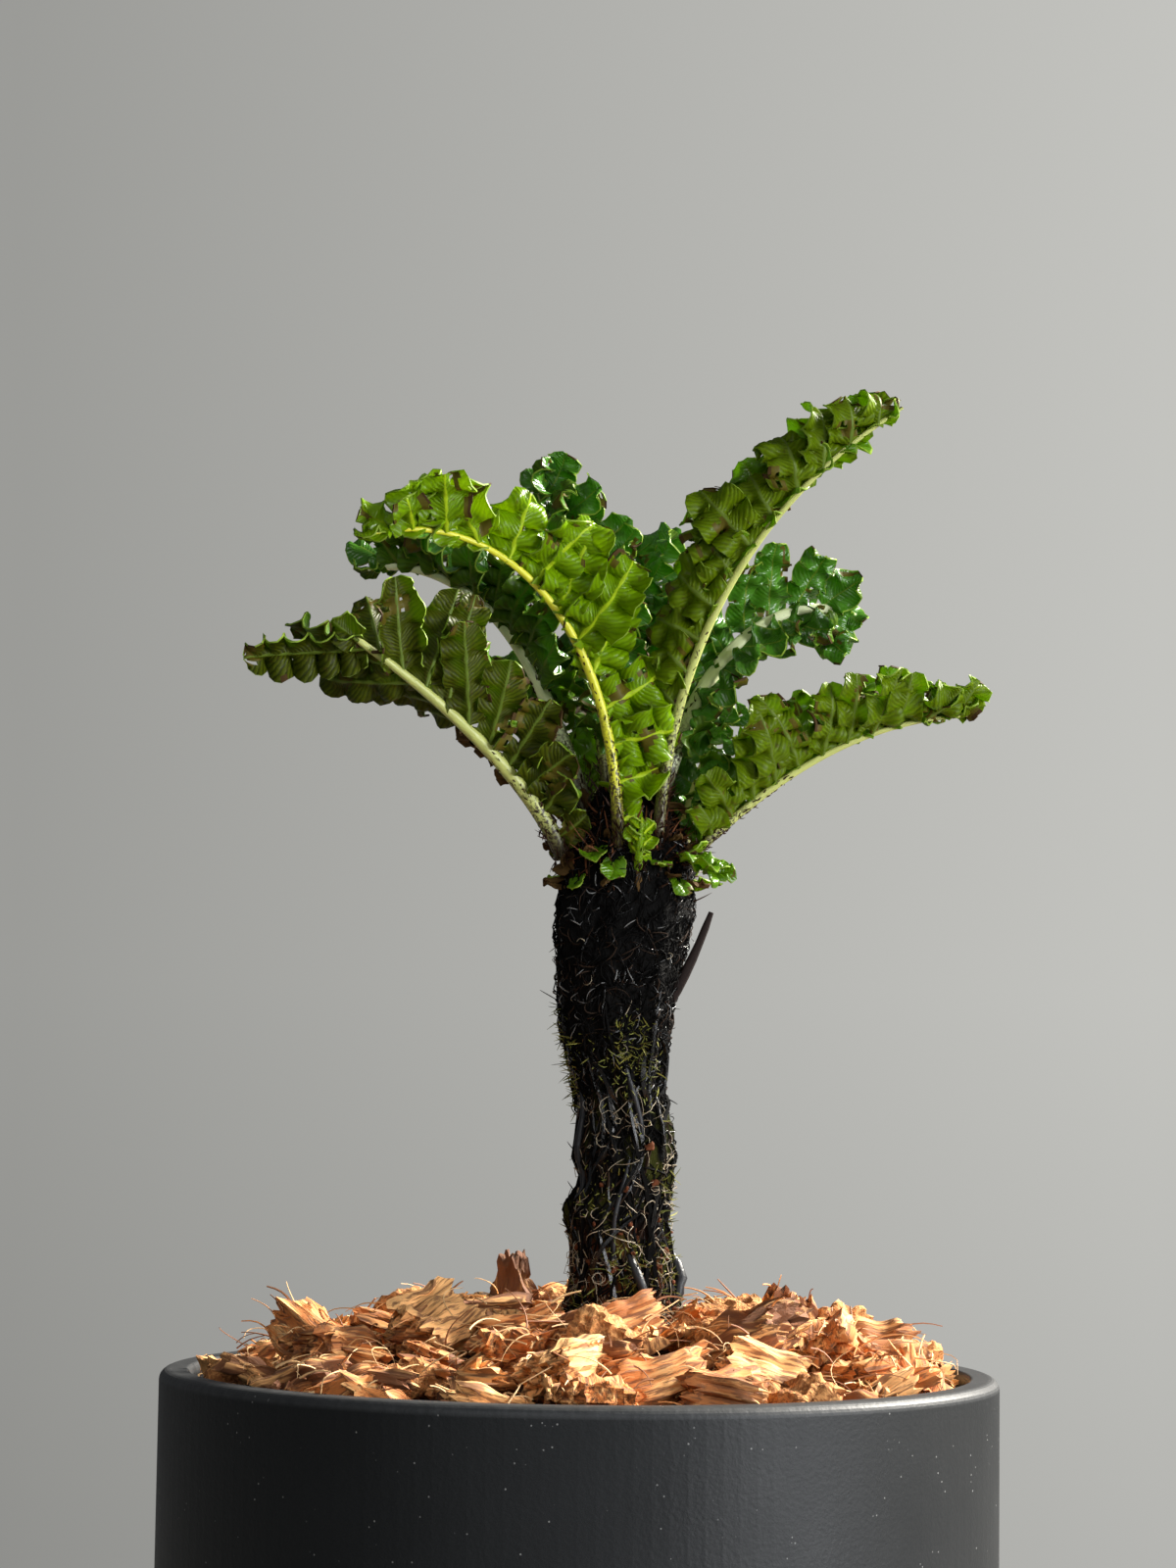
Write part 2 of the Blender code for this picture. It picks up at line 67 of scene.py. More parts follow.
POT_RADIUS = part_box("pot")[1].x
POT_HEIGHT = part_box("pot")[1].z
FOOT_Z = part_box("trunk")[0].z       # of the trunk's flat cut
MIX_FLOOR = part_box("potting_mix")[0].z
MIX_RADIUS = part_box("potting_mix")[1].x
GAP = 0.0003                        # between two solids
MIX_TOP = FOOT_Z - GAP
POT_WALL = POT_RADIUS - MIX_RADIUS - GAP

# ---- the pot's own sizes

POT_FLOOR = 0.006                   # the thickness of its floor
POT_FOOT_ROUND = 0.002              # the radius of its lower edge
POT_SIDES = 160

# ---- the trunk's own sizes

TRUNK_X = 0.0058                    # how far it stands off the pot's axis
TRUNK_SHAPE = (                     # height over the foot, radius under the mantle, lean to +X
    (0.0000, 0.0079, 0.0000),
    (0.0060, 0.0074, 0.0004),
    (0.0120, 0.0068, -0.0002),
    (0.0180, 0.0065, -0.0010),
    (0.0240, 0.0063, 0.0001),
    (0.0310, 0.0062, 0.0005),
    (0.0380, 0.0060, -0.0006),
    (0.0450, 0.0077, -0.0012),
    (0.0520, 0.0090, -0.0012),
    (0.0600, 0.0097, -0.0003),
    (0.0660, 0.0097, 0.0003),
    (0.0705, 0.0086, 0.0003),
    (0.0745, 0.0068, 0.0002),
    (0.0785, 0.0045, 0.0002),
    (0.0820, 0.0018, 0.0002),
)
TRUNK_MIDDLING_RADIUS = 0.009       # on which its relief is spread
TRUNK_MARKS = (                     # degrees round the trunk, height, spread, how far it stands out
    (188, 0.0230, 0.0020, -0.0015),
    (192, 0.0180, 0.0016, 0.0006),
)
WET_ROOTS = (                       # degrees round the trunk, lowest, highest, turn, radius
    (294, 0.029, 0.039, -16, 0.00048),
    (295, 0.0055, 0.0125, -14, 0.00070),
    (262, 0.012, 0.026, 14, 0.00036),
    (350, 0.0050, 0.0130, 14, 0.00085),
    (80, 0.012, 0.030, -14, 0.00070),
    (150, 0.004, 0.022, 10, 0.00060),
    (205, 0.020, 0.036, -10, 0.00055),
)
DEAD_ROOT_FOOT = Vector((TRUNK_X + 0.0098, -0.002, FOOT_Z + 0.052))
DEAD_ROOT_WAY = Vector((0.27, 0.0, 1.0)).normalized()
DEAD_ROOT_LENGTH = 0.0100
DEAD_ROOT_RADIUS = 0.0008
DEAD_ROOT_SUNK = np.array((0.0036, 0.0, 0.0040))    # how far it starts inside the trunk
DEAD_ROOT_BOW = 0.0004
DEAD_ROOT_TAPER = np.array((0.9, 1.1, 1.05, 0.95, 0.8, 0.75, 0.5))
WET_ROOT_TAPER = np.array((0.5, 0.85, 1.0, 0.95, 1.05, 1.0, 0.95, 0.85, 0.5))
FIBRE_TAPER = np.array((0.5, 0.9, 1.0, 1.0, 0.95, 0.8, 0.35))
MANTLE_SHARE = 0.70                 # of the setting's fibres, in the shaggy mantle
CLOSE_SHARE = 0.22                  # of them, close to the trunk
FUZZ_SHARE = 0.08                   # of them, standing out as fine hairs
SHORT_FIBRES = 420
THICK_ROOTS = 60
FOOT_HAIRS = 110
HIGH_HAIRS = 24
CRUMBS = 240
MOSS_PATCHES = 26
TRUNK_SEED = 71
MOSS_SEED = 75
CRUMB_SEED = 77
CRUMB_RELIEF_SEED = 700
(MANTLE, FIBRE, BROWN_FIBRE, HAIR, MOSS, YELLOW_MOSS, RUST,
 WET_FIBRE, DEAD_ROOT, PAINTED_GLINT_FIBRE, WET_ROOT) = range(11)           # the trunk's materials

# ---- chips

CHIP_SIZE = np.array((0.0150, 0.0110, 0.0070))
CHIP_RINGS = ((0.0175, 7), (0.029, 11), (0.0405, 15), (0.0495, 19))    # radius, number of chips
CHIP_SHRINK = 0.07                  # how much smaller they are in each further ring
CHIP_TILT = 32.0                    # the most that they lean, in degrees
CHIP_SEED = 11
RELIEF_SEED = 100                   # of the first chip's layers and grains
BIT_RELIEF_SEED = 300
STANDING_RELIEF_SEED = 499
SPLINTER_SEED = 500
STRAND_SEED = 51
SPLINTERS = 24                      # on each chip
MIX_EDGE_DROP = 0.009               # from the mound's top to the wall
CHIP_CURVE = 14.0                   # how far a chip bows along its length
STANDING_CHIP = (                   # degrees round the trunk, reach, height, size, lean, twist
    142, 0.0203, 0.0030, (0.0165, 0.0175, 0.0042), -86, 72)
STANDING_CORNERS = (0.80, 0.12, 0.80, 0.16) * 2
MIX_LEVEL_RADIUS = 0.013            # how far the mound is level round its middle
GROUND_DEPTH = 0.0022               # of the coir under the mound's top
LEVEL_ROUND_TRUNK = 0.0088          # from the trunk's axis, how far the coir is level
CLEAR_OF_TRUNK = 0.0105             # from the trunk's axis, how far there are no bits
CHIP_NOISE_APART = 0.031            # so that no two chips are torn alike
CHIP_PLACE_APART = 0.07             # so that no two chips are coloured alike
COIR, HUSK, PALE_HUSK, BROWN_HUSK, HUSK_SKIN, PITH, OLD_HUSK = range(7)    # the mix's materials
PALE_STRAND, BROWN_STRAND, ORANGE_STRAND = range(3)                        # the fibres' materials
CHIP_SLOTS = (HUSK, PALE_HUSK, HUSK, BROWN_HUSK, PITH, PALE_HUSK, HUSK, PITH, HUSK_SKIN)
BIT_SLOTS = (HUSK, HUSK, PALE_HUSK, BROWN_HUSK, HUSK_SKIN)

# ---- fronds

RIB_BASE_RADIUS = 0.0017
RIB_TIP_RADIUS = 0.0006
RIB_STEPS = 96
LEAF_ANGLE_LOW = 80.0               # between a leaflet and the rib at its foot, in degrees
LEAF_ANGLE_HIGH = 48.0              # and at its tip
LAST_LEAF = 0.965                   # where the rib's last leaflet springs
LAST_LEAF_LENGTH = 0.30             # as a share of the longest
DEAD_LENGTH = 0.28                  # of a withered leaflet, as a share of what it was
TAPER = 0.55                        # how much shorter the leaflets are at a frond's tip
LENGTH_JITTER = 0.10                # as a share of a leaflet's length
ANGLE_JITTER = 5.0                  # in degrees
FROND_SEED = 7
LEAFLET_SEED = 900                  # of the first frond's waves and tears
CROWN_SEED = 61
FOOT_SCALES = 190                   # on a frond of full length


@dataclass
class Frond:
    """Where a frond springs from the trunk, how its rib runs, and how its leaflets stand."""

    name: str
    seat: float                     # where it springs, in degrees round the trunk
    height: float                   # over the trunk's foot
    radius: float                   # off the trunk's axis
    heading: float                  # which way it sets out, in degrees
    rise: float                     # how steeply it sets out, in degrees above level
    tip: float                      # the same at its tip
    bend: float                     # how late it bends from the one to the other
    length: float                   # of its rib
    pairs: int                      # of leaflets
    reach: float                    # the length of its longest leaflets
    fold: float                     # how far the two rows stand up, in degrees
    swing: float = 0.0              # how far the rib turns round the trunk, in degrees
    roll: float = 0.0               # how far the blade rolls about the rib, in degrees
    girth: float = 0.8              # of its rib, as a share
    first: float = 0.10             # where its leaflets begin, as a share of the rib
    right_from: float = 0.0         # up to where its right row is withered
    fullest: float = 0.62           # where its leaflets are longest
    left_taper: float = TAPER       # how much shorter they are at the tip
    right_taper: float = TAPER
    split: float = 0.0              # where its solid is parted in two
    tone: str = "mid"               # of its blades: bright, mid, deep or olive
    brown: float = 0.3              # how much of it is scorched
    crisp: float = 1.0              # how far its edges wave, as a share of the setting
    right_share: float = 1.0        # of its lower right leaflets' length that is left
    curl: float = 0.2               # how far its leaflets roll in towards their tips, in radians
    overlap: float = 1.25           # a leaflet's width, as a share of the room along the rib
    rib: str = "rib"                # what its rib is made of


FRONDS = (
    Frond("frond_left_low", seat=200, height=0.069, radius=0.0095, heading=210, rise=76, tip=28,
          bend=0.35, length=0.047, pairs=10, reach=0.0162, fold=26, roll=66, first=0.06,
          right_from=0.50, left_taper=0.75, right_taper=0.0, girth=0.9, tone="olive", brown=0.45,
          crisp=0.65, curl=0.2, overlap=1.5),
    # Its blades take the bright tone and its rib a yellow one: painted glow for the light shining
    # through them from behind.
    Frond("frond_front_arching", seat=262, height=0.070, radius=0.0080, heading=233, rise=86,
          tip=-20, bend=1.4, length=0.071, pairs=12, reach=0.0135, fold=56, swing=-24, roll=-14,
          first=0.05, split=0.56, fullest=0.38, left_taper=0.65, right_taper=0.65, girth=0.62,
          tone="bright", brown=0.25, crisp=1.5, right_share=0.5, curl=0.5, overlap=1.4,
          rib="bright_rib"),
    Frond("frond_right_tall", seat=310, height=0.072, radius=0.0070, heading=306, rise=85, tip=33,
          bend=1.0, length=0.074, pairs=13, reach=0.0112, fold=52, swing=58, first=0.08,
          girth=0.6, brown=0.35, crisp=1.1, curl=1.6, overlap=1.5),
    # Its rib is painted pale, as if lit, though it lies in shade.
    Frond("frond_right_back", seat=22, height=0.078, radius=0.0045, heading=24, rise=69, tip=-22,
          bend=2.4, length=0.047, pairs=9, reach=0.0118, fold=10, swing=-16, roll=110, first=0.16,
          girth=1.1, split=0.6, tone="deep", brown=0.2, crisp=1.8, right_share=0.65, curl=1.0,
          rib="pale_rib"),
    Frond("frond_right_low", seat=355, height=0.069, radius=0.0085, heading=5, rise=44, tip=2,
          bend=1.6, length=0.049, pairs=11, reach=0.0130, fold=48, first=0.06, fullest=0.38,
          left_taper=0.7, right_taper=0.6, girth=0.55, brown=0.35, crisp=1.5, curl=0.7,
          overlap=1.35),
    Frond("frond_back_left_tall", seat=122, height=0.078, radius=0.0045, heading=126, rise=80,
          tip=60, bend=0.8, length=0.054, pairs=10, reach=0.0130, fold=40, swing=4, first=0.16,
          tone="deep", brown=0.15, crisp=1.3, curl=0.5),
    # Its rib is painted pale, as if lit, though it lies in shade.
    Frond("frond_left_back", seat=165, height=0.076, radius=0.0060, heading=162, rise=71, tip=-14,
          bend=2.5, length=0.054, pairs=8, reach=0.0135, fold=35, swing=20, first=0.38, split=0.58,
          girth=1.0, tone="deep", brown=0.15, crisp=1.4, curl=0.4, rib="pale_rib"),
    Frond("frond_back_upright", seat=75, height=0.079, radius=0.0040, heading=80, rise=68, tip=55,
          bend=0.8, length=0.047, pairs=9, reach=0.0125, fold=45, swing=24, first=0.16,
          tone="deep", brown=0.2, crisp=1.3, curl=0.5),
    Frond("frond_right_short", seat=20, height=0.070, radius=0.0085, heading=50, rise=78, tip=50,
          bend=1.0, length=0.024, pairs=5, reach=0.0085, fold=30, tone="deep", brown=0.2),
    Frond("frond_back_low", seat=98, height=0.069, radius=0.0088, heading=100, rise=62, tip=16,
          bend=1.0, length=0.050, pairs=9, reach=0.0150, fold=38, swing=-4),
    Frond("frond_back_right_low", seat=60, height=0.068, radius=0.0088, heading=76, rise=68, tip=20,
          bend=1.2, length=0.046, pairs=9, reach=0.0140, fold=38, swing=4, tone="deep"),
    Frond("frond_back_left_low", seat=138, height=0.068, radius=0.0088, heading=128, rise=70,
          tip=28, bend=1.0, length=0.044, pairs=9, reach=0.0145, fold=38, swing=-6),
    Frond("frond_front_young", seat=280, height=0.0675, radius=0.0090, heading=276, rise=50, tip=70,
          bend=1.0, length=0.0075, pairs=3, reach=0.0026, fold=20, first=0.25, girth=0.5,
          tone="bright", brown=0.0, crisp=0.9, overlap=1.8, rib="bright"),
    Frond("frond_right_young", seat=330, height=0.0695, radius=0.0090, heading=318, rise=-5,
          tip=-55, bend=1.0, length=0.008, pairs=3, reach=0.0046, fold=10, first=0.25, girth=0.5,
          tone="mid", brown=0.0, crisp=0.7, overlap=1.8, rib="bright"),
)
SPROUTS = (                         # degrees round the trunk, height, length, slope, tone
    (257, 0.0688, 0.0040, -50, "mid"),
    (238, 0.0705, 0.0042, -38, "olive"),
    (226, 0.0665, 0.0030, -50, "mid"),
    (300, 0.0685, 0.0034, -35, "mid"),
    (318, 0.0665, 0.0036, -42, "mid"),
    (332, 0.0700, 0.0046, -18, "mid"),
    (186, 0.0735, 0.0046, 40, "dry"),
    (192, 0.0705, 0.0042, 15, "dry"),
    (198, 0.0665, 0.0036, -12, "dry"),
    (208, 0.0690, 0.0040, -35, "dry"),
    (344, 0.0695, 0.0046, 22, "bright"),
    (352, 0.0650, 0.0034, -5, "mid"),
    (28, 0.0670, 0.0040, 20, "mid"),
    (72, 0.0665, 0.0044, 15, "bright"),
    (104, 0.0700, 0.0034, 30, "mid"),
    (148, 0.0665, 0.0040, 10, "bright"),
    (182, 0.0690, 0.0032, 25, "mid"),
)
# A leaflet: its place along the rib, its row, its foot, its three axes, its sizes, and whether
# it is withered.
Leaf = namedtuple("Leaf", "t side root way across normal length width dead")


# ---- seeded noise

class Ripple:
    """Smooth noise of about unit height: a sum of plane waves that run every way."""

    def __init__(self, seed, size, waves=14, stretch=(1.0, 1.0, 1.0)):
        dice = np.random.default_rng(seed)
        ways = dice.normal(size=(waves, 3))
        ways /= np.linalg.norm(ways, axis=1, keepdims=True)
        ways = ways * dice.uniform(0.6, 1.5, (waves, 1)) * (math.tau / size)
        self.ways = ways / np.array(stretch)
        self.starts = dice.uniform(0, math.tau, waves)
        self.height = math.sqrt(2.0 / waves)

    def __call__(self, points):
        return np.sin(points @ self.ways.T + self.starts).sum(-1) * self.height


def smooth(low, high, x):
    """0 below low, 1 above high, and a soft step between them."""
    share = np.clip((x - low) / (high - low), 0.0, 1.0)
    return share * share * (3 - 2 * share)


def unit(vectors):
    """The vectors, each brought to length 1."""
    return vectors / np.maximum(np.linalg.norm(vectors, axis=-1, keepdims=True), 1e-12)


# ---- gathering a mesh

def add_object(name, data):
    thing = bpy.data.objects.new(name, data)
    bpy.context.scene.collection.objects.link(thing)
    return thing


class Shape:
    """Gathers points, faces and their material slots until one mesh is made of them.

    Each point also has a place: its own coordinates on the leaflet, chip or root it belongs to,
    which the materials read as the attribute "place"."""

    def __init__(self):
        self.points, self.places, self.faces, self.slots = [], [], [], []
        self.size = 0

    def add(self, points, places, patches):
        """patches is [(faces, slots)], faces an array of rows of point numbers."""
        for faces, slots in patches:
            self.faces += (faces + self.size).tolist()
            self.slots += np.broadcast_to(slots, len(faces)).tolist()
        self.points.append(points)
        self.places.append(np.broadcast_to(places, points.shape))
        self.size += len(points)

    def object(self, name, materials, sharp):
        """The piece itself. An edge steeper than sharp, in degrees, isn't shaded smooth."""
        mesh = bpy.data.meshes.new(name)
        mesh.from_pydata(np.concatenate(self.points).tolist(), [], self.faces)
        mesh.polygons.foreach_set("material_index", self.slots)
        mesh.shade_smooth()
        mesh.set_sharp_from_angle(angle=math.radians(sharp))
        place = mesh.attributes.new("place", "FLOAT_VECTOR", "POINT")
        place.data.foreach_set("vector", np.concatenate(self.places).astype(np.float32).ravel())
        for material in materials:
            mesh.materials.append(material)
        return add_object(name, mesh)


def grid_faces(rows, columns, wrap=False):
    """Quads over a grid of points, rows by columns, facing along rows x columns."""
    across = columns if wrap else columns - 1
    i, j = np.meshgrid(np.arange(rows - 1), np.arange(across), indexing="ij")
    i, j = i.ravel(), j.ravel()
    k = (j + 1) % columns
    corners = (i * columns + j, i * columns + k, (i + 1) * columns + k, (i + 1) * columns + j)
    return np.stack(corners, 1)


TURN_PLACE = 0.001                  # what a radian round a tube counts for in its place
TUBE_PLACE = 0.0137                 # how far the places of two tubes stand apart


def add_tubes(shape, paths, radii, sides, slots, seed, flatten=1.0):
    """Many thin tubes at once: paths is (tube, point, xyz), radii (tube, point)."""
    count, steps, _ = paths.shape
    along = unit(np.gradient(paths, axis=1))
    dice = np.random.default_rng(seed)
    chord = unit(paths[:, -1] - paths[:, 0])
    reference = unit(np.cross(chord, dice.normal(size=(count, 3))))[:, None, :]
    first = unit(reference - (reference * along).sum(-1, keepdims=True) * along)
    second = np.cross(along, first)
    turns = np.arange(sides) * math.tau / sides
    ring = first[:, :, None, :] * np.cos(turns)[:, None]
    ring = ring + second[:, :, None, :] * (np.sin(turns) * flatten)[:, None]
    points = paths[:, :, None, :] + ring * radii[:, :, None, None]
    per_tube = steps * sides
    starts = (np.arange(count) * per_tube)[:, None, None]
    walls = (grid_faces(steps, sides, wrap=True)[None] + starts).reshape(-1, 4)
    cap = np.arange(sides)
    feet = (cap[::-1][None] + starts[:, 0]).reshape(-1, sides)
    tips = (cap[None] + per_tube - sides + starts[:, 0]).reshape(-1, sides)
    slots = np.broadcast_to(slots, count)
    lengths = np.linalg.norm(np.diff(paths, axis=1), axis=2).cumsum(1)
    lengths = np.concatenate([np.zeros((count, 1)), lengths], 1)
    places = np.zeros((count, steps, sides, 3))
    places[..., 0] = lengths[:, :, None]
    places[..., 1] = turns[None, None, :] * TURN_PLACE
    places[..., 2] = np.arange(count)[:, None, None] * TUBE_PLACE
    walls_each = (steps - 1) * sides
    patches = [(walls, np.repeat(slots, walls_each)), (feet, slots), (tips, slots)]
    shape.add(points.reshape(-1, 3), places.reshape(-1, 3), patches)


# ---- shader nodes in plain words

class Value:
    """A number socket that stands in an expression."""

    def __init__(self, nodes, socket):
        self.nodes, self.socket = nodes, socket

    def maths(self, operation, first, second=0.0):
        settings = {"operation": operation}
        return self.nodes.node("ShaderNodeMath", settings, {0: first, 1: second}).value()

    def __add__(self, other):
        return self.maths("ADD", self, other)

    def __sub__(self, other):
        return self.maths("SUBTRACT", self, other)

    def __mul__(self, other):
        return self.maths("MULTIPLY", self, other)

    def __rsub__(self, other):
        return self.maths("SUBTRACT", other, self)

    __radd__, __rmul__ = __add__, __mul__

    def above(self, edge, soft):
        """0 below the edge, 1 above it, and smooth over the width soft."""
        settings = {"interpolation_type": "SMOOTHSTEP"}
        sockets = {"Value": self, "From Min": edge - soft / 2, "From Max": edge + soft / 2}
        return self.nodes.node("ShaderNodeMapRange", settings, sockets).value("Result")

    def sine(self):
        return self.maths("SINE", self)

    def size(self):
        return self.maths("ABSOLUTE", self)


class Node:
    """A shader node whose outputs are asked for by name."""

    def __init__(self, nodes, node):
        self.nodes, self.node = nodes, node

    def value(self, output=0):
        return Value(self.nodes, self.node.outputs[output])

    def colour(self, output=0):
        return self.node.outputs[output]


class Nodes:
    """The nodes of a material or a world, added from Python."""

    def __init__(self, tree):
        self.tree = tree

    def join(self, socket, what):
        if isinstance(what, Value):
            self.tree.links.new(what.socket, socket)
        elif isinstance(what, bpy.types.NodeSocket):
            self.tree.links.new(what, socket)
        elif socket.type == "RGBA" and len(what) == 3:
            socket.default_value = (*what, 1.0)
        else:
            socket.default_value = what

    def node(self, kind, settings=None, sockets=None):
        """Any node: its type, its settings, and the numbers or links of its sockets."""
        made = self.tree.nodes.new(kind)
        for name, setting in (settings or {}).items():
            setattr(made, name, setting)
        for name, what in (sockets or {}).items():
            self.join(made.inputs[name], what)
        return Node(self, made)

    def parts(self, vector):
        split = self.node("ShaderNodeSeparateXYZ", None, {"Vector": vector})
        return [split.value(k) for k in range(3)]

    def mix(self, share, first, second):
        """Colours mixed by share: 0 is the first, 1 the second."""
        sockets = {0: share, 6: first, 7: second}
        return self.node("ShaderNodeMix", {"data_type": "RGBA"}, sockets).colour(2)


class Surface(Nodes):
    """A material made of one main shader."""

    def __init__(self, name, colour, roughness):
        self.material = bpy.data.materials.new(name)
        self.material.use_nodes = True
        self.material.diffuse_color = (*colour, 1.0)
        super().__init__(self.material.node_tree)
        self.shader = self.tree.nodes["Principled BSDF"]
        self.set(Base_Color=colour, Roughness=roughness)

    def set(self, **sockets):
        for name, what in sockets.items():
            self.join(self.shader.inputs[name.replace("_", " ")], what)

    def place(self):
        """The point's own coordinates on its leaflet, chip or root."""
        return self.node("ShaderNodeAttribute", {"attribute_name": "place"}).colour("Vector")

    def position(self):
        return self.node("ShaderNodeTexCoord").colour("Object")

    def stretched(self, vector, scale):
        settings = {"operation": "MULTIPLY"}
        return self.node("ShaderNodeVectorMath", settings, {0: vector, 1: scale}).colour()

    def noise(self, vector, scale, detail=2.0, rough=0.5):
        sockets = {"Vector": vector, "Scale": scale, "Detail": detail, "Roughness": rough}
        return self.node("ShaderNodeTexNoise", None, sockets).value("Fac")

    def cells(self, vector, scale):
        """The distance from the middle of the nearest cell."""
        sockets = {"Vector": vector, "Scale": scale}
        return self.node("ShaderNodeTexVoronoi", None, sockets).value("Distance")

    def bump(self, height, strength, distance):
        sockets = {"Height": height, "Strength": strength, "Distance": distance}
        return self.node("ShaderNodeBump", None, sockets).colour()

    def let_light_through(self, colour, share):
        """Mixes in the light that falls on the leaf's other face."""
        through = self.node("ShaderNodeBsdfTranslucent", None, {"Color": colour}).colour()
        sockets = {0: share, 1: self.shader.outputs[0], 2: through}
        mixed = self.node("ShaderNodeMixShader", None, sockets).colour()
        self.join(self.tree.nodes["Material Output"].inputs["Surface"], mixed)


def darker(colour, share):
    """The colour times share, so that a share above 1 makes it brighter."""
    return tuple(part * share for part in colour)


# ---- settings

def colour_setting(name, description, default):
    return FloatVectorProperty(name=name, description=description, default=default,
                               subtype="COLOR", min=0.0, max=1.0)


class FernPotSettings(bpy.types.PropertyGroup):
    chamfer: FloatProperty(
        name="Rim chamfer", description="Width of the rim's slanted outer edge",
        default=0.0015, min=0.0, max=0.003, unit="LENGTH")
    glaze: colour_setting("Glaze", "Colour of the matt glaze", (0.0070, 0.0080, 0.0090))
    roughness: FloatProperty(
        name="Roughness", description="How matt the glaze is", default=0.52, min=0.0, max=1.0)


class FernMixSettings(bpy.types.PropertyGroup):
    husk: colour_setting("Husk", "Colour of most chips", (0.56, 0.19, 0.046))
    pale: colour_setting("Pale husk", "Colour of the freshly broken chips", (0.80, 0.42, 0.155))
    dark: colour_setting("Dark husk", "Colour of the chips' outer skin", (0.15, 0.055, 0.020))
    bits: IntProperty(name="Bits", description="Small pieces between the chips", default=150, min=0)
    strands: IntProperty(name="Strands", description="Loose husk fibres", default=420, min=0)


class FernTrunkSettings(bpy.types.PropertyGroup):
    fibre: colour_setting("Root fibre", "Colour of the mantle of roots", (0.0024, 0.0023, 0.0022))
    hair: colour_setting("Root hair", "Colour of the pale hairs near the foot", (0.30, 0.25, 0.17))
    moss: colour_setting("Moss", "Colour of the moss on the trunk", (0.12, 0.13, 0.02))
    fibres: IntProperty(name="Fibres", description="Roots in the mantle", default=3800, min=0)
    hairs: IntProperty(name="Hairs", description="Pale hairs near the foot", default=300, min=0)
    sprigs: IntProperty(name="Moss sprigs", description="Sprigs of moss", default=1300, min=0)


class FernFrondSettings(bpy.types.PropertyGroup):
    # bright: the young blades' colour, also given to the front arching frond as painted glow of the
    # light through it.
    bright: colour_setting("Bright blade", "Colour of the youngest blades", (0.18, 0.33, 0.002))
    mid: colour_setting("Blade", "Colour of full-grown blades", (0.085, 0.20, 0.002))
    deep: colour_setting("Deep blade", "Colour of the oldest blades", (0.050, 0.160, 0.010))
    olive: colour_setting("Olive blade", "Colour of the blades' underside", (0.060, 0.074, 0.002))
    margin: colour_setting("Margin", "Colour of the leaflets' edge", (0.22, 0.33, 0.035))
    tan: colour_setting("Tan", "Colour of the leaflets' aging parts", (0.085, 0.070, 0.006))
    scorch: colour_setting("Scorch", "Colour of the dead patches", (0.050, 0.027, 0.007))
    rib: colour_setting("Rib", "Colour of the ribs", (0.46, 0.50, 0.14))
    scale: colour_setting("Scale", "Colour of the scales between their feet", (0.13, 0.045, 0.016))
    scales: IntProperty(name="Scales", description="Scales between their feet", default=420, min=1)
    withered: IntProperty(name="Withered", description="Withered leaflets", default=26, min=0)
    crisp: FloatProperty(
        name="Crisping", description="How far the leaflets' edges wave, in shares of their width",
        default=0.85, min=0.0, max=1.5)


class FernStageSettings(bpy.types.PropertyGroup):
    backdrop: colour_setting("Backdrop", "Colour behind the plant", (0.42, 0.42, 0.40))
    key: FloatProperty(
        name="Key light", description="Power of the main light", default=38.0, min=0.0,
        unit="POWER")
    fill: FloatProperty(
        name="Fill", description="Strength of the light from all round", default=0.13, min=0.0)


# ---- pot

def glaze_material(look):
    """A matt glaze, a little cloudy, with a few pale specks, and lighter along the rim: partly
    wear, partly a painted highlight where the chamfer catches light.
    """
    surface = Surface("pot_glaze", look.glaze, look.roughness)
    where = surface.position()
    height = surface.parts(where)[2]
    cloud = surface.noise(where, 60.0, 4.0)
    speck = (0.16 - surface.cells(where, 900.0)).above(0.05, 0.05)
    few = surface.noise(where, 240.0, 1.0).above(0.60, 0.06)
    rim = height.above(POT_HEIGHT - look.chamfer * 0.9, look.chamfer * 0.5)
    # The rim is painted a paler bluish grey: partly wear, partly a painted highlight of the light
    # on the chamfer.
    rim_wear_and_sheen = rim * (0.25 + surface.noise(where, 700.0, 3.0) * 0.9)
    tone = surface.mix(cloud, darker(look.glaze, 0.82), darker(look.glaze, 1.22))
    tone = surface.mix(speck * few, tone, (0.16, 0.16, 0.155))
    tone = surface.mix(rim_wear_and_sheen * 0.18, tone, (0.17, 0.175, 0.18))
    grain = surface.noise(where, 1600.0, 3.0)
    surface.set(Base_Color=tone, Roughness=look.roughness - 0.08 + cloud * 0.16,
                Normal=surface.bump(grain, 0.25, 0.0002), Specular_IOR_Level=0.25)
    return surface.material


def quarter_turn(steps):
    """(cosine, sine) at each step of a quarter turn."""
    turns = [math.pi * k / (2 * steps) for k in range(steps + 1)]
    return [(math.cos(turn), math.sin(turn)) for turn in turns]


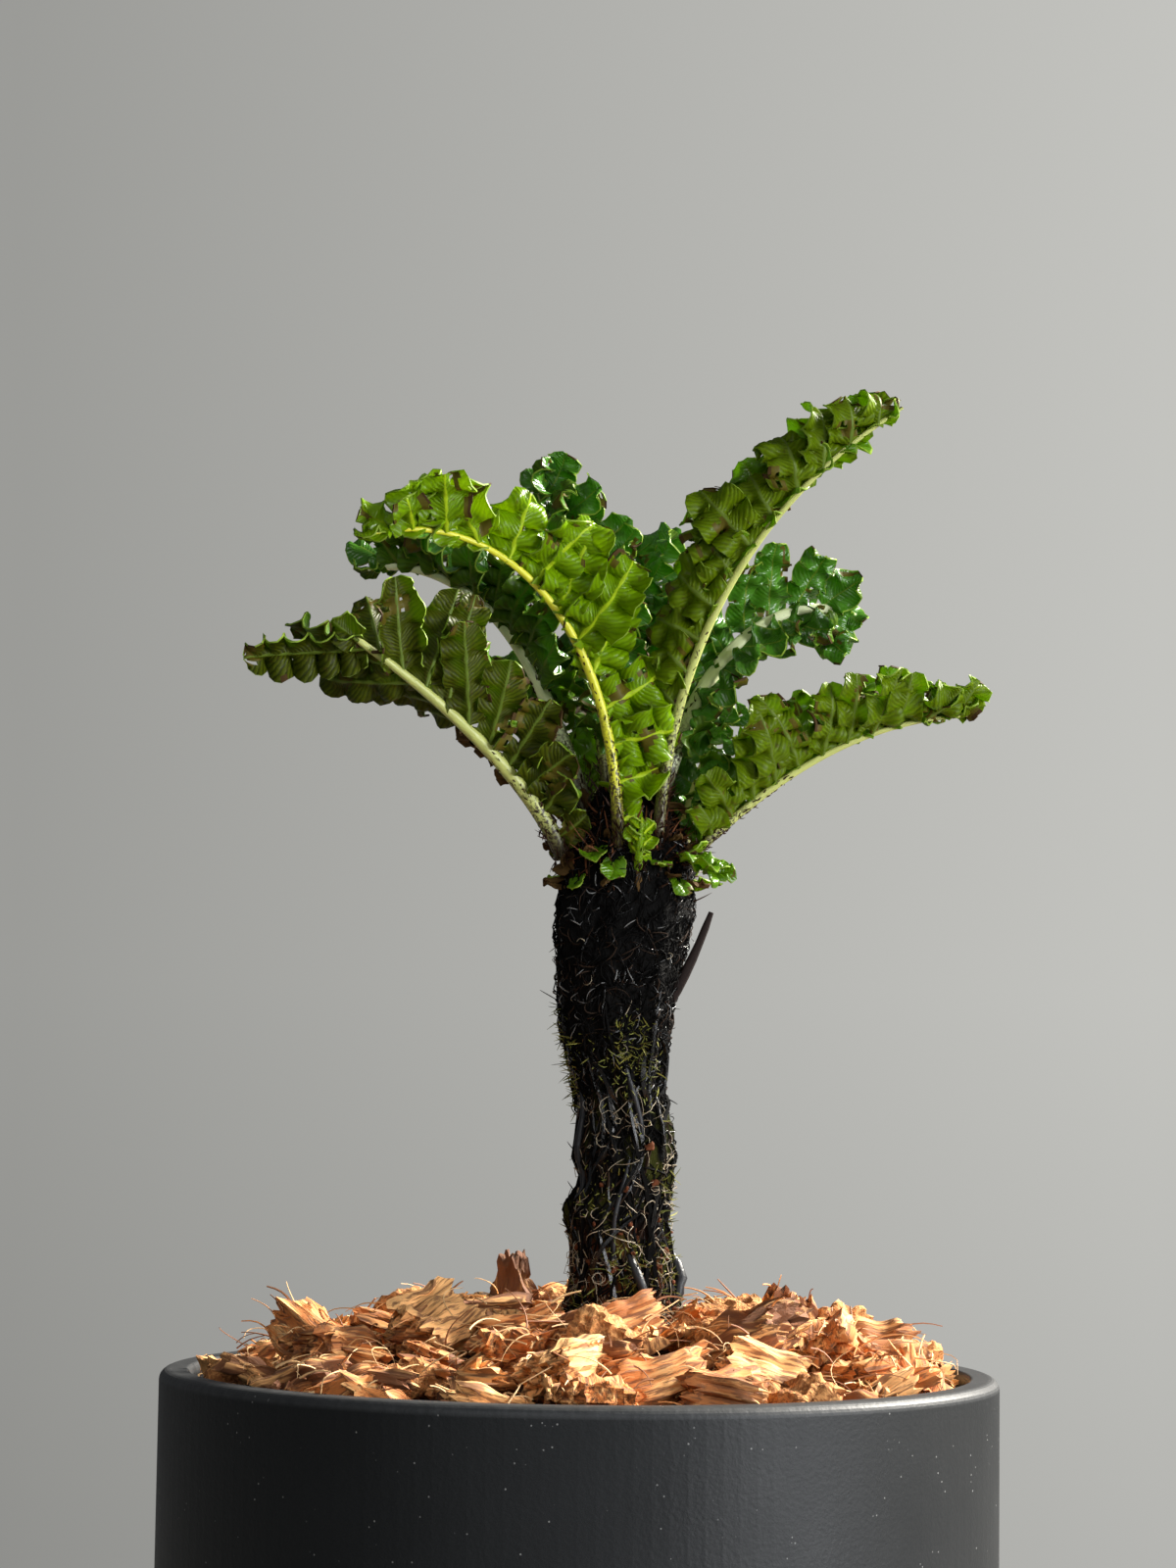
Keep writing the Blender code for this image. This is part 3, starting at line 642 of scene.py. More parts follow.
def make_pot(look):
    """The pot turned about its axis, with a rounded chamfer on the rim."""
    inside = POT_RADIUS - POT_WALL
    edge, shoulder = look.chamfer, POT_HEIGHT - look.chamfer
    profile = [(0.0, POT_FLOOR), (inside, POT_FLOOR), (inside, shoulder)]
    profile += [(inside + edge * 0.5 * (1 - cosine), shoulder + edge * sine)
                for cosine, sine in quarter_turn(6)]
    profile += [(POT_RADIUS - edge + edge * sine, shoulder + edge * cosine)
                for cosine, sine in quarter_turn(6)]
    profile += [(POT_RADIUS, POT_HEIGHT * s) for s in (0.75, 0.5, 0.25)]
    profile += [(POT_RADIUS - POT_FOOT_ROUND * (1 - cosine), POT_FOOT_ROUND * (1 - sine))
                for cosine, sine in quarter_turn(4)]
    profile.append((0.0, 0.0))
    mesh = bpy.data.meshes.new("glazed_pot")
    # Two-cornered faces instead of edges: the turned wall takes its outer side from them.
    steps = [(i, i + 1) for i in range(len(profile) - 1)]
    mesh.from_pydata([(r, 0.0, z) for r, z in profile], [], steps)
    pot = add_object("glazed_pot", mesh)
    screw = pot.modifiers.new("turn", "SCREW")
    screw.steps = screw.render_steps = POT_SIDES
    screw.use_merge_vertices = True
    screw.merge_threshold = 1e-5
    screw.use_smooth_shade = True
    mesh.materials.append(glaze_material(look))
    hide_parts("pot")
    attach(pot, "root")


# ---- potting mix

def husk_material(name, colour, look, strands):
    """Coir: fibres that run along the chip, in layers, with painted shade in the hollows between
    the fibres.
    """
    surface = Surface(name, colour, 0.85)
    where = surface.place()
    long = surface.stretched(where, (0.12, 1.0, 1.0))
    fibre = surface.noise(long, 1900.0, 4.0, 0.6)
    strand = surface.noise(long, 650.0, 3.0, 0.6)
    patch = surface.noise(where, 260.0, 3.0)
    tone = surface.mix(patch, darker(colour, 0.72), darker(colour, 1.28))
    tone = surface.mix(strand.above(0.56, 0.16), tone, strands)
    # Painted shade: the dark husk colour laid where the fibre relief is lowest, in the hollows
    # between fibres.
    tone = surface.mix((1.0 - fibre).above(0.53, 0.12) * 0.85, tone, look.dark)
    relief = surface.bump(fibre * 0.6 + strand, 0.75, 0.0006)
    surface.set(Base_Color=tone, Roughness=0.72 + fibre * 0.25, Normal=relief)
    return surface.material


def pith_material(look):
    """Crumbly pith between the fibres, in grains, with painted shade in the pits between the
    grains.
    """
    surface = Surface("husk_pith", look.husk, 0.95)
    where = surface.place()
    grain = surface.noise(where, 1300.0, 4.0, 0.6)
    cloud = surface.noise(where, 330.0, 3.0)
    tone = surface.mix(cloud, darker(look.husk, 0.8), darker(look.pale, 0.95))
    # Painted shade: darker where the grain relief is lowest, in the pits between grains.
    tone = surface.mix((1.0 - grain).above(0.50, 0.14) * 0.8, tone, darker(look.husk, 0.42))
    surface.set(Base_Color=tone, Normal=surface.bump(grain, 0.9, 0.0008))
    return surface.material


def coir_material(look):
    surface = Surface("damp_coir", look.dark, 0.95)
    crumb = surface.noise(surface.position(), 900.0, 5.0, 0.7)
    tone = surface.mix(crumb, darker(look.dark, 0.25), darker(look.dark, 0.9))
    surface.set(Base_Color=tone, Normal=surface.bump(crumb, 0.9, 0.001))
    return surface.material


def strand_material(name, colour):
    surface = Surface(name, colour, 0.7)
    tone = surface.noise(surface.place(), 400.0, 2.0)
    surface.set(Base_Color=surface.mix(tone, darker(colour, 0.6), darker(colour, 1.35)))
    return surface.material


def mix_materials(look):
    """In the order COIR, HUSK, PALE_HUSK, BROWN_HUSK, HUSK_SKIN, PITH, OLD_HUSK."""
    return [
        coir_material(look),
        husk_material("husk", look.husk, look, look.pale),
        husk_material("husk_pale", look.pale, look, look.pale),
        husk_material("husk_brown", darker(look.husk, 0.6), look, look.pale),
        husk_material("husk_skin", darker(look.dark, 1.3), look, look.pale),
        pith_material(look),
        husk_material("husk_old", darker(look.dark, 0.9), look, darker(look.pale, 0.45)),
    ]


def strand_materials():
    """In the order PALE_STRAND, BROWN_STRAND, ORANGE_STRAND."""
    return [
        strand_material("strand_pale", (0.68, 0.43, 0.20)),
        strand_material("strand_brown", (0.26, 0.10, 0.035)),
        strand_material("strand_orange", (0.56, 0.24, 0.075)),
    ]


def mix_height(radius):
    """The height of the mound at a distance from the pot's axis."""
    share = np.clip((radius - MIX_LEVEL_RADIUS) / (MIX_RADIUS - MIX_LEVEL_RADIUS), 0.0, 1.0)
    return MIX_TOP - MIX_EDGE_DROP * share**1.6


def add_ground(shape):
    """The dark coir under the chips: a mound that falls to the wall, then down to the floor."""
    rings, sides = 44, 128
    radii = np.linspace(0.0006, MIX_RADIUS - GAP, rings)
    angles = np.arange(sides) * math.tau / sides
    x = radii[:, None] * np.cos(angles)
    y = radii[:, None] * np.sin(angles)
    z = np.broadcast_to(mix_height(radii)[:, None] - GROUND_DEPTH, x.shape)
    top = np.stack([x, y, z], -1)
    rough = Ripple(31, 0.006)(top) * 0.0006 + Ripple(32, 0.0022)(top) * 0.0005
    near_trunk = np.hypot(x - TRUNK_X, y) < LEVEL_ROUND_TRUNK
    top[..., 2] = np.where(near_trunk, MIX_TOP - GROUND_DEPTH, top[..., 2] + rough)
    skirt = top[-1].copy()
    skirt[:, 2] = MIX_FLOOR
    points = np.concatenate([top.reshape(-1, 3), skirt])
    walls = grid_faces(rings + 1, sides, wrap=True)
    end = np.arange(sides)[None]
    shape.add(points, points, [(walls, COIR), (end[:, ::-1], COIR), (end + rings * sides, COIR)])


def box_grid(steps):
    """The surface of a unit box as six grids, with each point's place in the box."""
    faces, points, size = [], [], 0
    for axis in range(3):
        a, b = (axis + 1) % 3, (axis + 2) % 3
        for side in (-0.5, 0.5):
            u = np.linspace(-0.5, 0.5, steps[a] + 1)
            v = np.linspace(-0.5, 0.5, steps[b] + 1)
            grid = np.zeros((len(u), len(v), 3))
            grid[..., axis] = side
            grid[..., a] = u[:, None]
            grid[..., b] = v[None, :]
            quads = grid_faces(len(u), len(v))
            faces.append((quads if side < 0 else quads[:, ::-1]) + size)
            points.append(grid.reshape(-1, 3))
            size += len(points[-1])
    points, faces = np.concatenate(points), np.concatenate(faces)
    points, same = np.unique(points.round(6), axis=0, return_inverse=True)
    return points, same.ravel()[faces]


def add_chip(shape, grid, size, corners, turn, place, seed, slot):
    """A torn husk chip: rounded corners, layers that part at its sides, ragged ends.
    A chip of pith is a rounder lump of grains."""
    box, faces = grid
    low, high = 0.5 - box, 0.5 + box
    spread = np.zeros((len(box), 2))
    for k in range(8):
        near = [high[:, axis] if k >> axis & 1 else low[:, axis] for axis in range(3)]
        spread += (near[0] * near[1] * near[2])[:, None] * corners[k]
    points = box.copy()
    points[:, :2] *= spread
    pithy = slot == PITH
    rounding = 1 - (0.22 if pithy else 0.10) * (np.abs(box * 2) ** 4).sum(1, keepdims=True) / 3
    points = points * rounding * size
    way = unit(box * (np.abs(box) > 0.49))
    own = points + seed * CHIP_NOISE_APART
    layer = Ripple(seed, 0.0013, stretch=(24.0, 5.0, 1.0))(own)
    strand = Ripple(seed + 1, 0.0011, stretch=(20.0, 1.0, 1.0))(own)
    ragged = Ripple(seed + 2, 0.0012, stretch=(30.0, 1.0, 1.0))(own)
    lump = Ripple(seed + 3, 0.006)(own)
    grains = Ripple(seed + 4, 0.0019)(own)
    torn = grains * 0.00030 if pithy else layer * 0.00032 + strand * 0.00020
    points += way * (torn + lump * 0.00035)[:, None]
    at_end = smooth(0.30, 0.5, np.abs(box[:, 0])) * np.sign(box[:, 0])
    points[:, 0] += at_end * ragged * (0.0002 if pithy else 0.0008)
    points[:, 2] += (points[:, 0] ** 2) * CHIP_CURVE * math.sin(seed)
    moved = points @ np.array(turn.to_3x3()).T + np.array(place)
    radius = np.hypot(moved[:, 0], moved[:, 1])
    too_far = max(0.0, radius.max() - (MIX_RADIUS - GAP))
    if too_far > 0.0:
        moved[:, :2] -= np.array(place.xy.normalized()) * too_far
    own[:, 2] += seed * CHIP_PLACE_APART
    shape.add(moved, own, [(faces, slot)])


def chip_turn(tilts, turn):
    """A chip's rotation: tilted about its own X and Y, then turned about the pot's axis."""
    tilted = Matrix.Rotation(tilts[0], 4, "X") @ Matrix.Rotation(tilts[1], 4, "Y")
    return Matrix.Rotation(turn, 4, "Z") @ tilted


def add_splinters(shape, size, turn, place, seed):
    """Stiff fibres along a chip's faces, which stand out beyond its torn ends."""
    dice = np.random.default_rng(seed)
    count, steps = SPLINTERS, 5
    long, wide, high = (size / 2).tolist()
    start = dice.uniform(-1.0, 0.5, count) * long
    length = dice.uniform(0.25, 0.8, count) * long
    ends = dice.random(count) < 0.5
    start = np.where(ends, long * dice.uniform(0.45, 0.85, count), start)
    start = np.where(dice.random(count) < 0.5, start, -start)
    length = length * np.sign(start + 1e-9)
    across = dice.uniform(-0.85, 0.85, (2, count)) * np.array((wide, high))[:, None]
    outer = dice.random(count) < 0.6
    across[1] = np.where(outer, np.sign(across[1]) * high * 0.92, across[1])
    across[0] = np.where(outer, across[0], np.sign(across[0]) * wide * 0.92)
    s = np.linspace(0, 1, steps)
    fan = dice.normal(0, 0.18, (2, count, 1)) * length[:, None] * s**2
    path = np.stack([start[:, None] + length[:, None] * s, across[0][:, None] + fan[0],
                     across[1][:, None] + fan[1] + 0.0004 * np.sin(s * math.pi)], -1)
    path = path @ np.array(turn.to_3x3()).T + np.array(place)
    reach = np.hypot(path[..., 0], path[..., 1])
    path[..., :2] *= np.minimum(1.0, (MIX_RADIUS - 0.0006) / reach)[..., None]
    thin = dice.uniform(0.00009, 0.00020, count)[:, None] * np.linspace(1.0, 0.55, steps)
    slots = dice.choice([PALE_STRAND, PALE_STRAND, ORANGE_STRAND, BROWN_STRAND], count)
    add_tubes(shape, path, thin, 4, slots, seed)


def add_chips(shape, splinters):
    """The large chips, by the same rule and dice as their solids, and one that stands up."""
    dice = random.Random(CHIP_SEED)
    grid = box_grid((18, 12, 9))
    last_ring = len(CHIP_RINGS) - 1
    number = 0
    for ring, (radius, count) in enumerate(CHIP_RINGS):
        start = dice.uniform(0, math.tau)
        middle = TRUNK_X * (1 - ring / last_ring)
        for k in range(count):
            angle = start + math.tau * (k + dice.uniform(-0.25, 0.25)) / count
            reach = radius + dice.uniform(-0.002, 0.002)
            shrunk = 1 - ring * CHIP_SHRINK
            size = np.array([side * shrunk * dice.uniform(0.8, 1.2) for side in CHIP_SIZE])
            height = float(mix_height(reach)) + dice.uniform(0.1, 0.75) * size[2]
            place = Vector((middle + reach * math.cos(angle), reach * math.sin(angle), height))
            tilts = [math.radians(dice.uniform(-CHIP_TILT, CHIP_TILT)) for _ in range(2)]
            turn = chip_turn(tilts, dice.uniform(0, math.tau))
            corners = [dice.uniform(0.72, 1.0) for _ in range(8)]
            corners = np.array([(corner, corner) for corner in corners])
            number += 1
            slot = CHIP_SLOTS[number % len(CHIP_SLOTS)]
            add_chip(shape, grid, size, corners, turn, place, RELIEF_SEED + number, slot)
            if slot != PITH:
                add_splinters(splinters, size, turn, place, SPLINTER_SEED + number)
    degrees, reach, height, size, lean, twist = STANDING_CHIP
    way = math.radians(degrees)
    place = Vector((TRUNK_X + reach * math.cos(way), reach * math.sin(way), MIX_TOP + height))
    leaning = Matrix.Rotation(math.radians(lean), 4, "Y")
    turn = leaning @ Matrix.Rotation(math.radians(twist), 4, "X")
    corners = np.array([(1.0, corner) for corner in STANDING_CORNERS])
    add_chip(shape, grid, np.array(size), corners, turn, place, STANDING_RELIEF_SEED, OLD_HUSK)


def add_bits(shape, count):
    """Slivers and crumbs of husk that fill between the chips."""
    dice = random.Random(CHIP_SEED + 1)
    grid = box_grid((9, 5, 4))
    for k in range(count):
        radius = MIX_RADIUS * math.sqrt(dice.uniform(0.02, 0.94))
        angle = dice.uniform(0, math.tau)
        size = np.array((dice.uniform(0.004, 0.011), dice.uniform(0.0015, 0.005),
                         dice.uniform(0.0012, 0.0030)))
        x, y = radius * math.cos(angle), radius * math.sin(angle)
        if math.hypot(x - TRUNK_X, y) < CLEAR_OF_TRUNK:
            continue
        place = Vector((x, y, float(mix_height(radius)) + dice.uniform(0.0005, 0.0052)))
        tilts = [math.radians(dice.uniform(-28, 28)) for _ in range(2)]
        corners = np.array([(c, c) for c in (dice.uniform(0.6, 1.0) for _ in range(8))])
        turn = chip_turn(tilts, dice.uniform(0, math.tau))
        slot = dice.choice(BIT_SLOTS)
        add_chip(shape, grid, size, corners, turn, place, BIT_RELIEF_SEED + k, slot)


def add_loose_strands(shape, count):
    """Fibres that spring from between the chips, curl, and lie down on the mound."""
    dice = np.random.default_rng(STRAND_SEED)
    radius = MIX_RADIUS * np.sqrt(dice.uniform(0.03, 0.86, count))
    angle = dice.uniform(0, math.tau, count)
    height = mix_height(radius) + dice.uniform(0.001, 0.0065, count)
    roots = np.stack([radius * np.cos(angle), radius * np.sin(angle), height], -1)
    length = dice.uniform(0.004, 0.013, count)
    heading = dice.uniform(0, math.tau, count)
    rise = dice.uniform(-0.15, 0.9, count)
    turn = dice.normal(0, 1.6, count)
    droop = dice.uniform(0.2, 1.6, count)
    steps = 9
    s = np.linspace(0, 1, steps)[None, :]
    angle = heading[:, None] + turn[:, None] * s
    slope = rise[:, None] - droop[:, None] * s**1.5
    level = np.cos(slope)
    step = np.stack([np.cos(angle) * level, np.sin(angle) * level, np.sin(slope)], -1)
    path = np.cumsum(step, axis=1) * (length / steps)[:, None, None]
    paths = roots[:, None, :] + path - path[:, :1]
    reach = np.hypot(paths[..., 0], paths[..., 1])
    inside = np.minimum(1.0, (MIX_RADIUS - 0.001) / np.maximum(reach, 1e-6))
    paths[..., :2] *= inside[..., None]
    lowest = mix_height(np.minimum(reach, MIX_RADIUS)) + 0.0006
    paths[..., 2] = np.maximum(paths[..., 2], lowest)
    thin = dice.uniform(0.00007, 0.00016, count)[:, None] * np.linspace(1.0, 0.45, steps)
    slots = dice.choice([PALE_STRAND, PALE_STRAND, BROWN_STRAND], count)
    add_tubes(shape, paths, thin, 4, slots, STRAND_SEED + 1)


def make_mix(look):
    chips, strands = Shape(), Shape()
    add_ground(chips)
    add_chips(chips, strands)
    add_bits(chips, look.bits)
    add_loose_strands(strands, look.strands)
    mix = chips.object("husk_mulch", mix_materials(look), sharp=50.0)
    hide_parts("potting_mix")
    loose = strands.object("husk_strands", strand_materials(), sharp=60.0)
    for piece in (mix, loose):
        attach(piece, "root")


# ---- trunk

def trunk_profile(heights):
    """(radius, lean) at each height over the foot: the rows of TRUNK_SHAPE with their corners
    smoothed by a moving average, but not at the tip."""
    table = np.array(TRUNK_SHAPE)
    fine = np.linspace(0, table[-1, 0], 200)
    reach, tip = 6, 14              # of the average to either side, and what it leaves as it is
    window = np.ones(2 * reach + 1) / (2 * reach + 1)
    rows = []
    for column in (1, 2):
        values = np.interp(fine, table[:, 0], table[:, column])
        soft = np.convolve(np.pad(values, reach, mode="edge"), window, mode="valid")
        soft[-tip:] = values[-tip:]
        rows.append(np.interp(heights, fine, soft))
    return rows


def trunk_swelling(heights, angles):
    """How far the mantle stands out of or in from its round shape, in metres."""
    points = outward(angles) * TRUNK_MIDDLING_RADIUS
    points[..., 2] = heights
    lump = Ripple(61, 0.012, stretch=(1, 1, 1.6))(points) * 0.00024
    strand = Ripple(62, 0.0035, stretch=(1, 1, 5.0))(points) * 0.00025
    mat = Ripple(63, 0.0012)(points) * 0.00008
    low = 1 - smooth(0.030, 0.048, heights)
    swelling = lump + strand * (0.4 + low) + mat
    for degrees, height, spread, depth in TRUNK_MARKS:
        mark = depth * np.exp(-((heights - height) / spread) ** 2)
        swelling = swelling + mark * smooth(0.5, 0.95, np.cos(angles - math.radians(degrees)))
    return swelling


def outward(angles):
    """The level directions at these angles round the trunk."""
    return np.stack([np.cos(angles), np.sin(angles), np.zeros_like(angles)], -1)


def trunk_point(heights, angles, lift=0.0):
    """Points on the trunk's surface, or lifted off it."""
    radius, lean = trunk_profile(heights)
    out = radius + trunk_swelling(heights, angles) + lift
    x, y = TRUNK_X + lean + out * np.cos(angles), out * np.sin(angles)
    return np.stack([x, y, FOOT_Z + heights], -1)


def bristles(dice, heights, angles, steps, length, out=1.0, up=0.0, spread=0.8, bend=0.5,
             curve=0.6):
    """Paths of short hairs that leave the trunk's surface, stray from their way and bend."""
    count = len(heights)
    feet = trunk_point(heights, angles)[:, None]
    strayed_by = dice.normal(0, spread, (count, 3))
    way = unit(outward(angles) * out + strayed_by + np.array((0, 0, up)))[:, None]
    bends = dice.normal(0, bend, (count, 1, 3))
    s = np.linspace(0, 1, steps)[None, :, None]
    return feet + (way * s + bends * s * s * curve) * dice.uniform(*length, (count, 1, 1))


def add_trunk_core(shape):
    """The trunk's own surface, on which the roots lie."""
    rings, sides = 190, 132
    heights = np.linspace(0, TRUNK_SHAPE[-1][0], rings)[:, None]
    angles = (np.arange(sides) * math.tau / sides)[None, :]
    heights, angles = np.broadcast_arrays(heights, angles)
    points = trunk_point(heights, angles).reshape(-1, 3)
    walls = grid_faces(rings, sides, wrap=True)
    end = np.arange(sides)[None]
    top = end + (rings - 1) * sides
    shape.add(points, points, [(walls, MANTLE), (end[:, ::-1], MANTLE), (top, MANTLE)])


Batch = namedtuple("Batch", "count low high length slope wander curl lift radius slots")


def fibre_batches(look):
    """Fibres of the shaggy mantle, then roots and hairs close to the trunk. Each batch lies
    between two heights, leans by slope from upright, strays from it by wander, turns by curl on
    its way, and bows out by lift."""
    mantle = (
        Batch(int(look.fibres * MANTLE_SHARE), 0.034, 0.079, 0.0038, 0.3, 1.0, 1.4, 0.0007, 0.00010,
              [FIBRE] * 7 + [BROWN_FIBRE, WET_FIBRE]),
        # Short fibres, a third of them pale grey: painted glints on the black upper mantle.
        Batch(SHORT_FIBRES, 0.030, 0.079, 0.0026, 0.3, 1.0, 1.0, 0.0008, 0.00008,
              [WET_FIBRE, WET_FIBRE, PAINTED_GLINT_FIBRE]),
    )
    trunk = (
        Batch(int(look.fibres * CLOSE_SHARE), 0.000, 0.040, 0.0075, 0.1, 0.5, 0.7, 0.0004, 0.00014,
              [FIBRE] * 4 + [BROWN_FIBRE, WET_FIBRE]),
        Batch(THICK_ROOTS, 0.004, 0.046, 0.0150, 0.15, 0.25, 0.7, 0.0006, 0.00036,
              [FIBRE, WET_FIBRE]),
        Batch(look.hairs, 0.000, 0.034, 0.0050, 0.4, 1.5, 4.0, 0.0012, 0.000055, [HAIR]),
        Batch(FOOT_HAIRS, 0.000, 0.012, 0.0050, 0.4, 1.5, 5.0, 0.0014, 0.000060, [HAIR]),
        Batch(HIGH_HAIRS, 0.034, 0.062, 0.0028, 0.4, 1.1, 3.0, 0.0010, 0.000050, [HAIR]),
    )
    return mantle, trunk


def add_fibres(shape, dice, batch):
    """A batch of roots or hairs that run over the trunk and lift off it between their ends."""
    count, steps = batch.count, len(FIBRE_TAPER)
    height = dice.uniform(batch.low, batch.high, count)[:, None]
    angle = dice.uniform(0, math.tau, count)[:, None]
    s = np.linspace(0, 1, steps)[None, :]
    lean = dice.normal(batch.slope, batch.wander, count)[:, None]
    lean = lean + dice.normal(0, batch.curl, count)[:, None] * (s - 0.5)
    long = batch.length * dice.uniform(0.5, 1.4, count)[:, None]
    up = np.cumsum(np.cos(lean), axis=1) * long / steps
    around = np.cumsum(np.sin(lean), axis=1) * long / steps
    heights = np.clip(height + up - up.mean(1, keepdims=True), 0.0003, 0.0805)
    radius = np.maximum(trunk_profile(heights)[0], 0.003)
    angles = angle + (around - around.mean(1, keepdims=True)) / radius
    bow = np.sin(math.pi * s) * dice.uniform(0.0, batch.lift, count)[:, None]
    paths = trunk_point(heights, angles, bow + 0.00005)
    radii = dice.uniform(0.6, 1.3, count)[:, None] * batch.radius * FIBRE_TAPER
    slots = dice.choice(batch.slots, count)
    add_tubes(shape, paths, radii, 4, slots, int(dice.integers(1e6)))


def add_wet_roots(shape):
    """The few glistening roots that lie on the mantle."""
    s = np.linspace(0, 1, len(WET_ROOT_TAPER))
    for degrees, low, high, turn, thick in WET_ROOTS:
        angles = np.radians(degrees + turn * s)
        lift = thick * (0.2 + np.sin(s * math.pi))
        path = trunk_point(low + (high - low) * s, angles, lift)
        radii = thick * WET_ROOT_TAPER
        add_tubes(shape, path[None], radii[None], 8, WET_ROOT, TRUNK_SEED + 3)


def add_fuzz(shape, dice, count):
    """Fine hairs that stand out of the mantle every way."""
    heights = dice.uniform(0.002, 0.072, count)
    angles = dice.uniform(0, math.tau, count)
    paths = bristles(dice, heights, angles, len(FIBRE_TAPER), (0.0006, 0.0022), out=0.8,
                     bend=0.7, curve=0.5)
    radii = dice.uniform(0.00005, 0.0001, count)[:, None] * FIBRE_TAPER
    slots = dice.choice([FIBRE, FIBRE, BROWN_FIBRE, WET_FIBRE], count)
    add_tubes(shape, paths, radii, 3, slots, TRUNK_SEED + 2)


def add_dead_root(shape):
    """The stub of a dead root that stands off the trunk under the crown."""
    s = np.linspace(0, 1, len(DEAD_ROOT_TAPER))
    foot, way = np.array(DEAD_ROOT_FOOT), np.array(DEAD_ROOT_WAY)
    start = foot - DEAD_ROOT_SUNK
    path = start + (foot + way * DEAD_ROOT_LENGTH - start) * s[:, None]
    path[:, 0] += np.sin(s * math.pi) * DEAD_ROOT_BOW
    radii = DEAD_ROOT_RADIUS * DEAD_ROOT_TAPER
    add_tubes(shape, path[None], radii[None], 10, DEAD_ROOT, TRUNK_SEED + 3, flatten=0.7)


def root_material(name, colour, roughness, gloss):
    """A root, hair or sprig, blotched lighter and darker along its length."""
    surface = Surface(name, colour, roughness)
    where = surface.place()
    tone = surface.noise(where, 500.0, 3.0)
    relief = surface.bump(surface.noise(where, 3000.0, 3.0), 0.4, 0.0002)
    surface.set(Base_Color=surface.mix(tone, darker(colour, 0.5), darker(colour, 1.6)),
                Roughness=roughness - 0.12 + tone * 0.24, Normal=relief,
                Specular_IOR_Level=gloss)
    return surface.material


def core_material(look):
    """The mantle between its fibres: black, mossy low down, and rusty at the foot."""
    surface = Surface("root_mantle", look.fibre, 0.75)
    where = surface.position()
    height = surface.parts(where)[2]
    long = surface.stretched(where, (1.0, 1.0, 0.22))
    fibre = surface.noise(long, 1500.0, 5.0, 0.65)
    low = 1.0 - height.above(FOOT_Z + 0.036, 0.020)
    patch = surface.noise(where, 170.0, 3.0).above(0.54, 0.10)
    foot = 1.0 - height.above(FOOT_Z + 0.013, 0.010)
    rust = surface.noise(where, 210.0, 3.0).above(0.50, 0.10) * foot
    tone = surface.mix(fibre, darker(look.fibre, 0.35), darker(look.fibre, 2.2))
    tone = surface.mix(patch * low * 0.75, tone, darker(look.moss, 0.30))
    tone = surface.mix(rust * 0.9, tone, (0.11, 0.034, 0.012))
    surface.set(Base_Color=tone, Roughness=0.55 + fibre * 0.3,
                Normal=surface.bump(fibre, 1.0, 0.0012), Specular_IOR_Level=0.06)
    return surface.material


def trunk_materials(look):
    """In the order of the slots from MANTLE to WET_ROOT."""
    rows = (                        # name, colour, roughness, gloss
        ("root_fibre", look.fibre, 0.75, 0.05),
        ("root_fibre_brown", (0.022, 0.013, 0.008), 0.7, 0.1),
        ("root_hair", look.hair, 0.6, 0.4),
        ("moss", look.moss, 0.7, 0.3),
        ("moss_yellow", (0.19, 0.18, 0.035), 0.7, 0.2),
        ("rust_crumb", (0.085, 0.028, 0.012), 0.85, 0.1),
        ("wet_fibre", darker(look.fibre, 0.7), 0.25, 0.5),
        ("dead_root", (0.012, 0.008, 0.007), 0.8, 0.1),
        # Pale grey fibres: painted glints, not the roots' own colour.
        ("grey_fibre", (0.17, 0.17, 0.165), 0.4, 0.4),
        ("wet_root", (0.010, 0.011, 0.013), 0.44, 0.30),
    )
    return [core_material(look)] + [root_material(*row) for row in rows]


def add_sprigs(shape, count):
    """Tiny pointed moss leaves in patches on the trunk's lower half."""
    dice = np.random.default_rng(MOSS_SEED)
    centre_height = dice.uniform(0.004, 0.043, MOSS_PATCHES)
    centre_angle = dice.uniform(0, math.tau, MOSS_PATCHES)
    which = dice.integers(0, MOSS_PATCHES, count)
    heights = np.clip(centre_height[which] + dice.normal(0, 0.0024, count), 0.0015, 0.05)
    angles = centre_angle[which] + dice.normal(0, 0.30, count)
    taper = np.array((0.6, 1.0, 1.0, 0.7, 0.2))
    paths = bristles(dice, heights, angles, len(taper), (0.0007, 0.0019), up=0.25)
    radii = dice.uniform(0.00006, 0.00012, count)[:, None] * taper
    slots = dice.choice([MOSS, MOSS, YELLOW_MOSS], count)
    add_tubes(shape, paths, radii, 3, slots, MOSS_SEED + 1)


def add_crumbs(shape, count):
    """Rusty crumbs of old root that cling to the foot."""
    dice = np.random.default_rng(CRUMB_SEED)
    box, faces = box_grid((3, 3, 3))
    ball = unit(box)
    for k in range(count):
        height = abs(dice.normal(0, 0.009))
        angle = dice.uniform(0, math.tau)
        size = dice.uniform(0.0002, 0.0007)
        middle = trunk_point(np.array([height]), np.array([angle]), size * 0.4)[0]
        stretch = dice.uniform(0.5, 1.0, 3)
        lumpy = 1 + 0.25 * Ripple(CRUMB_RELIEF_SEED + k, 1.2)(ball)[:, None]
        points = ball * size * stretch * lumpy
        shape.add(points + middle, points, [(faces, RUST)])


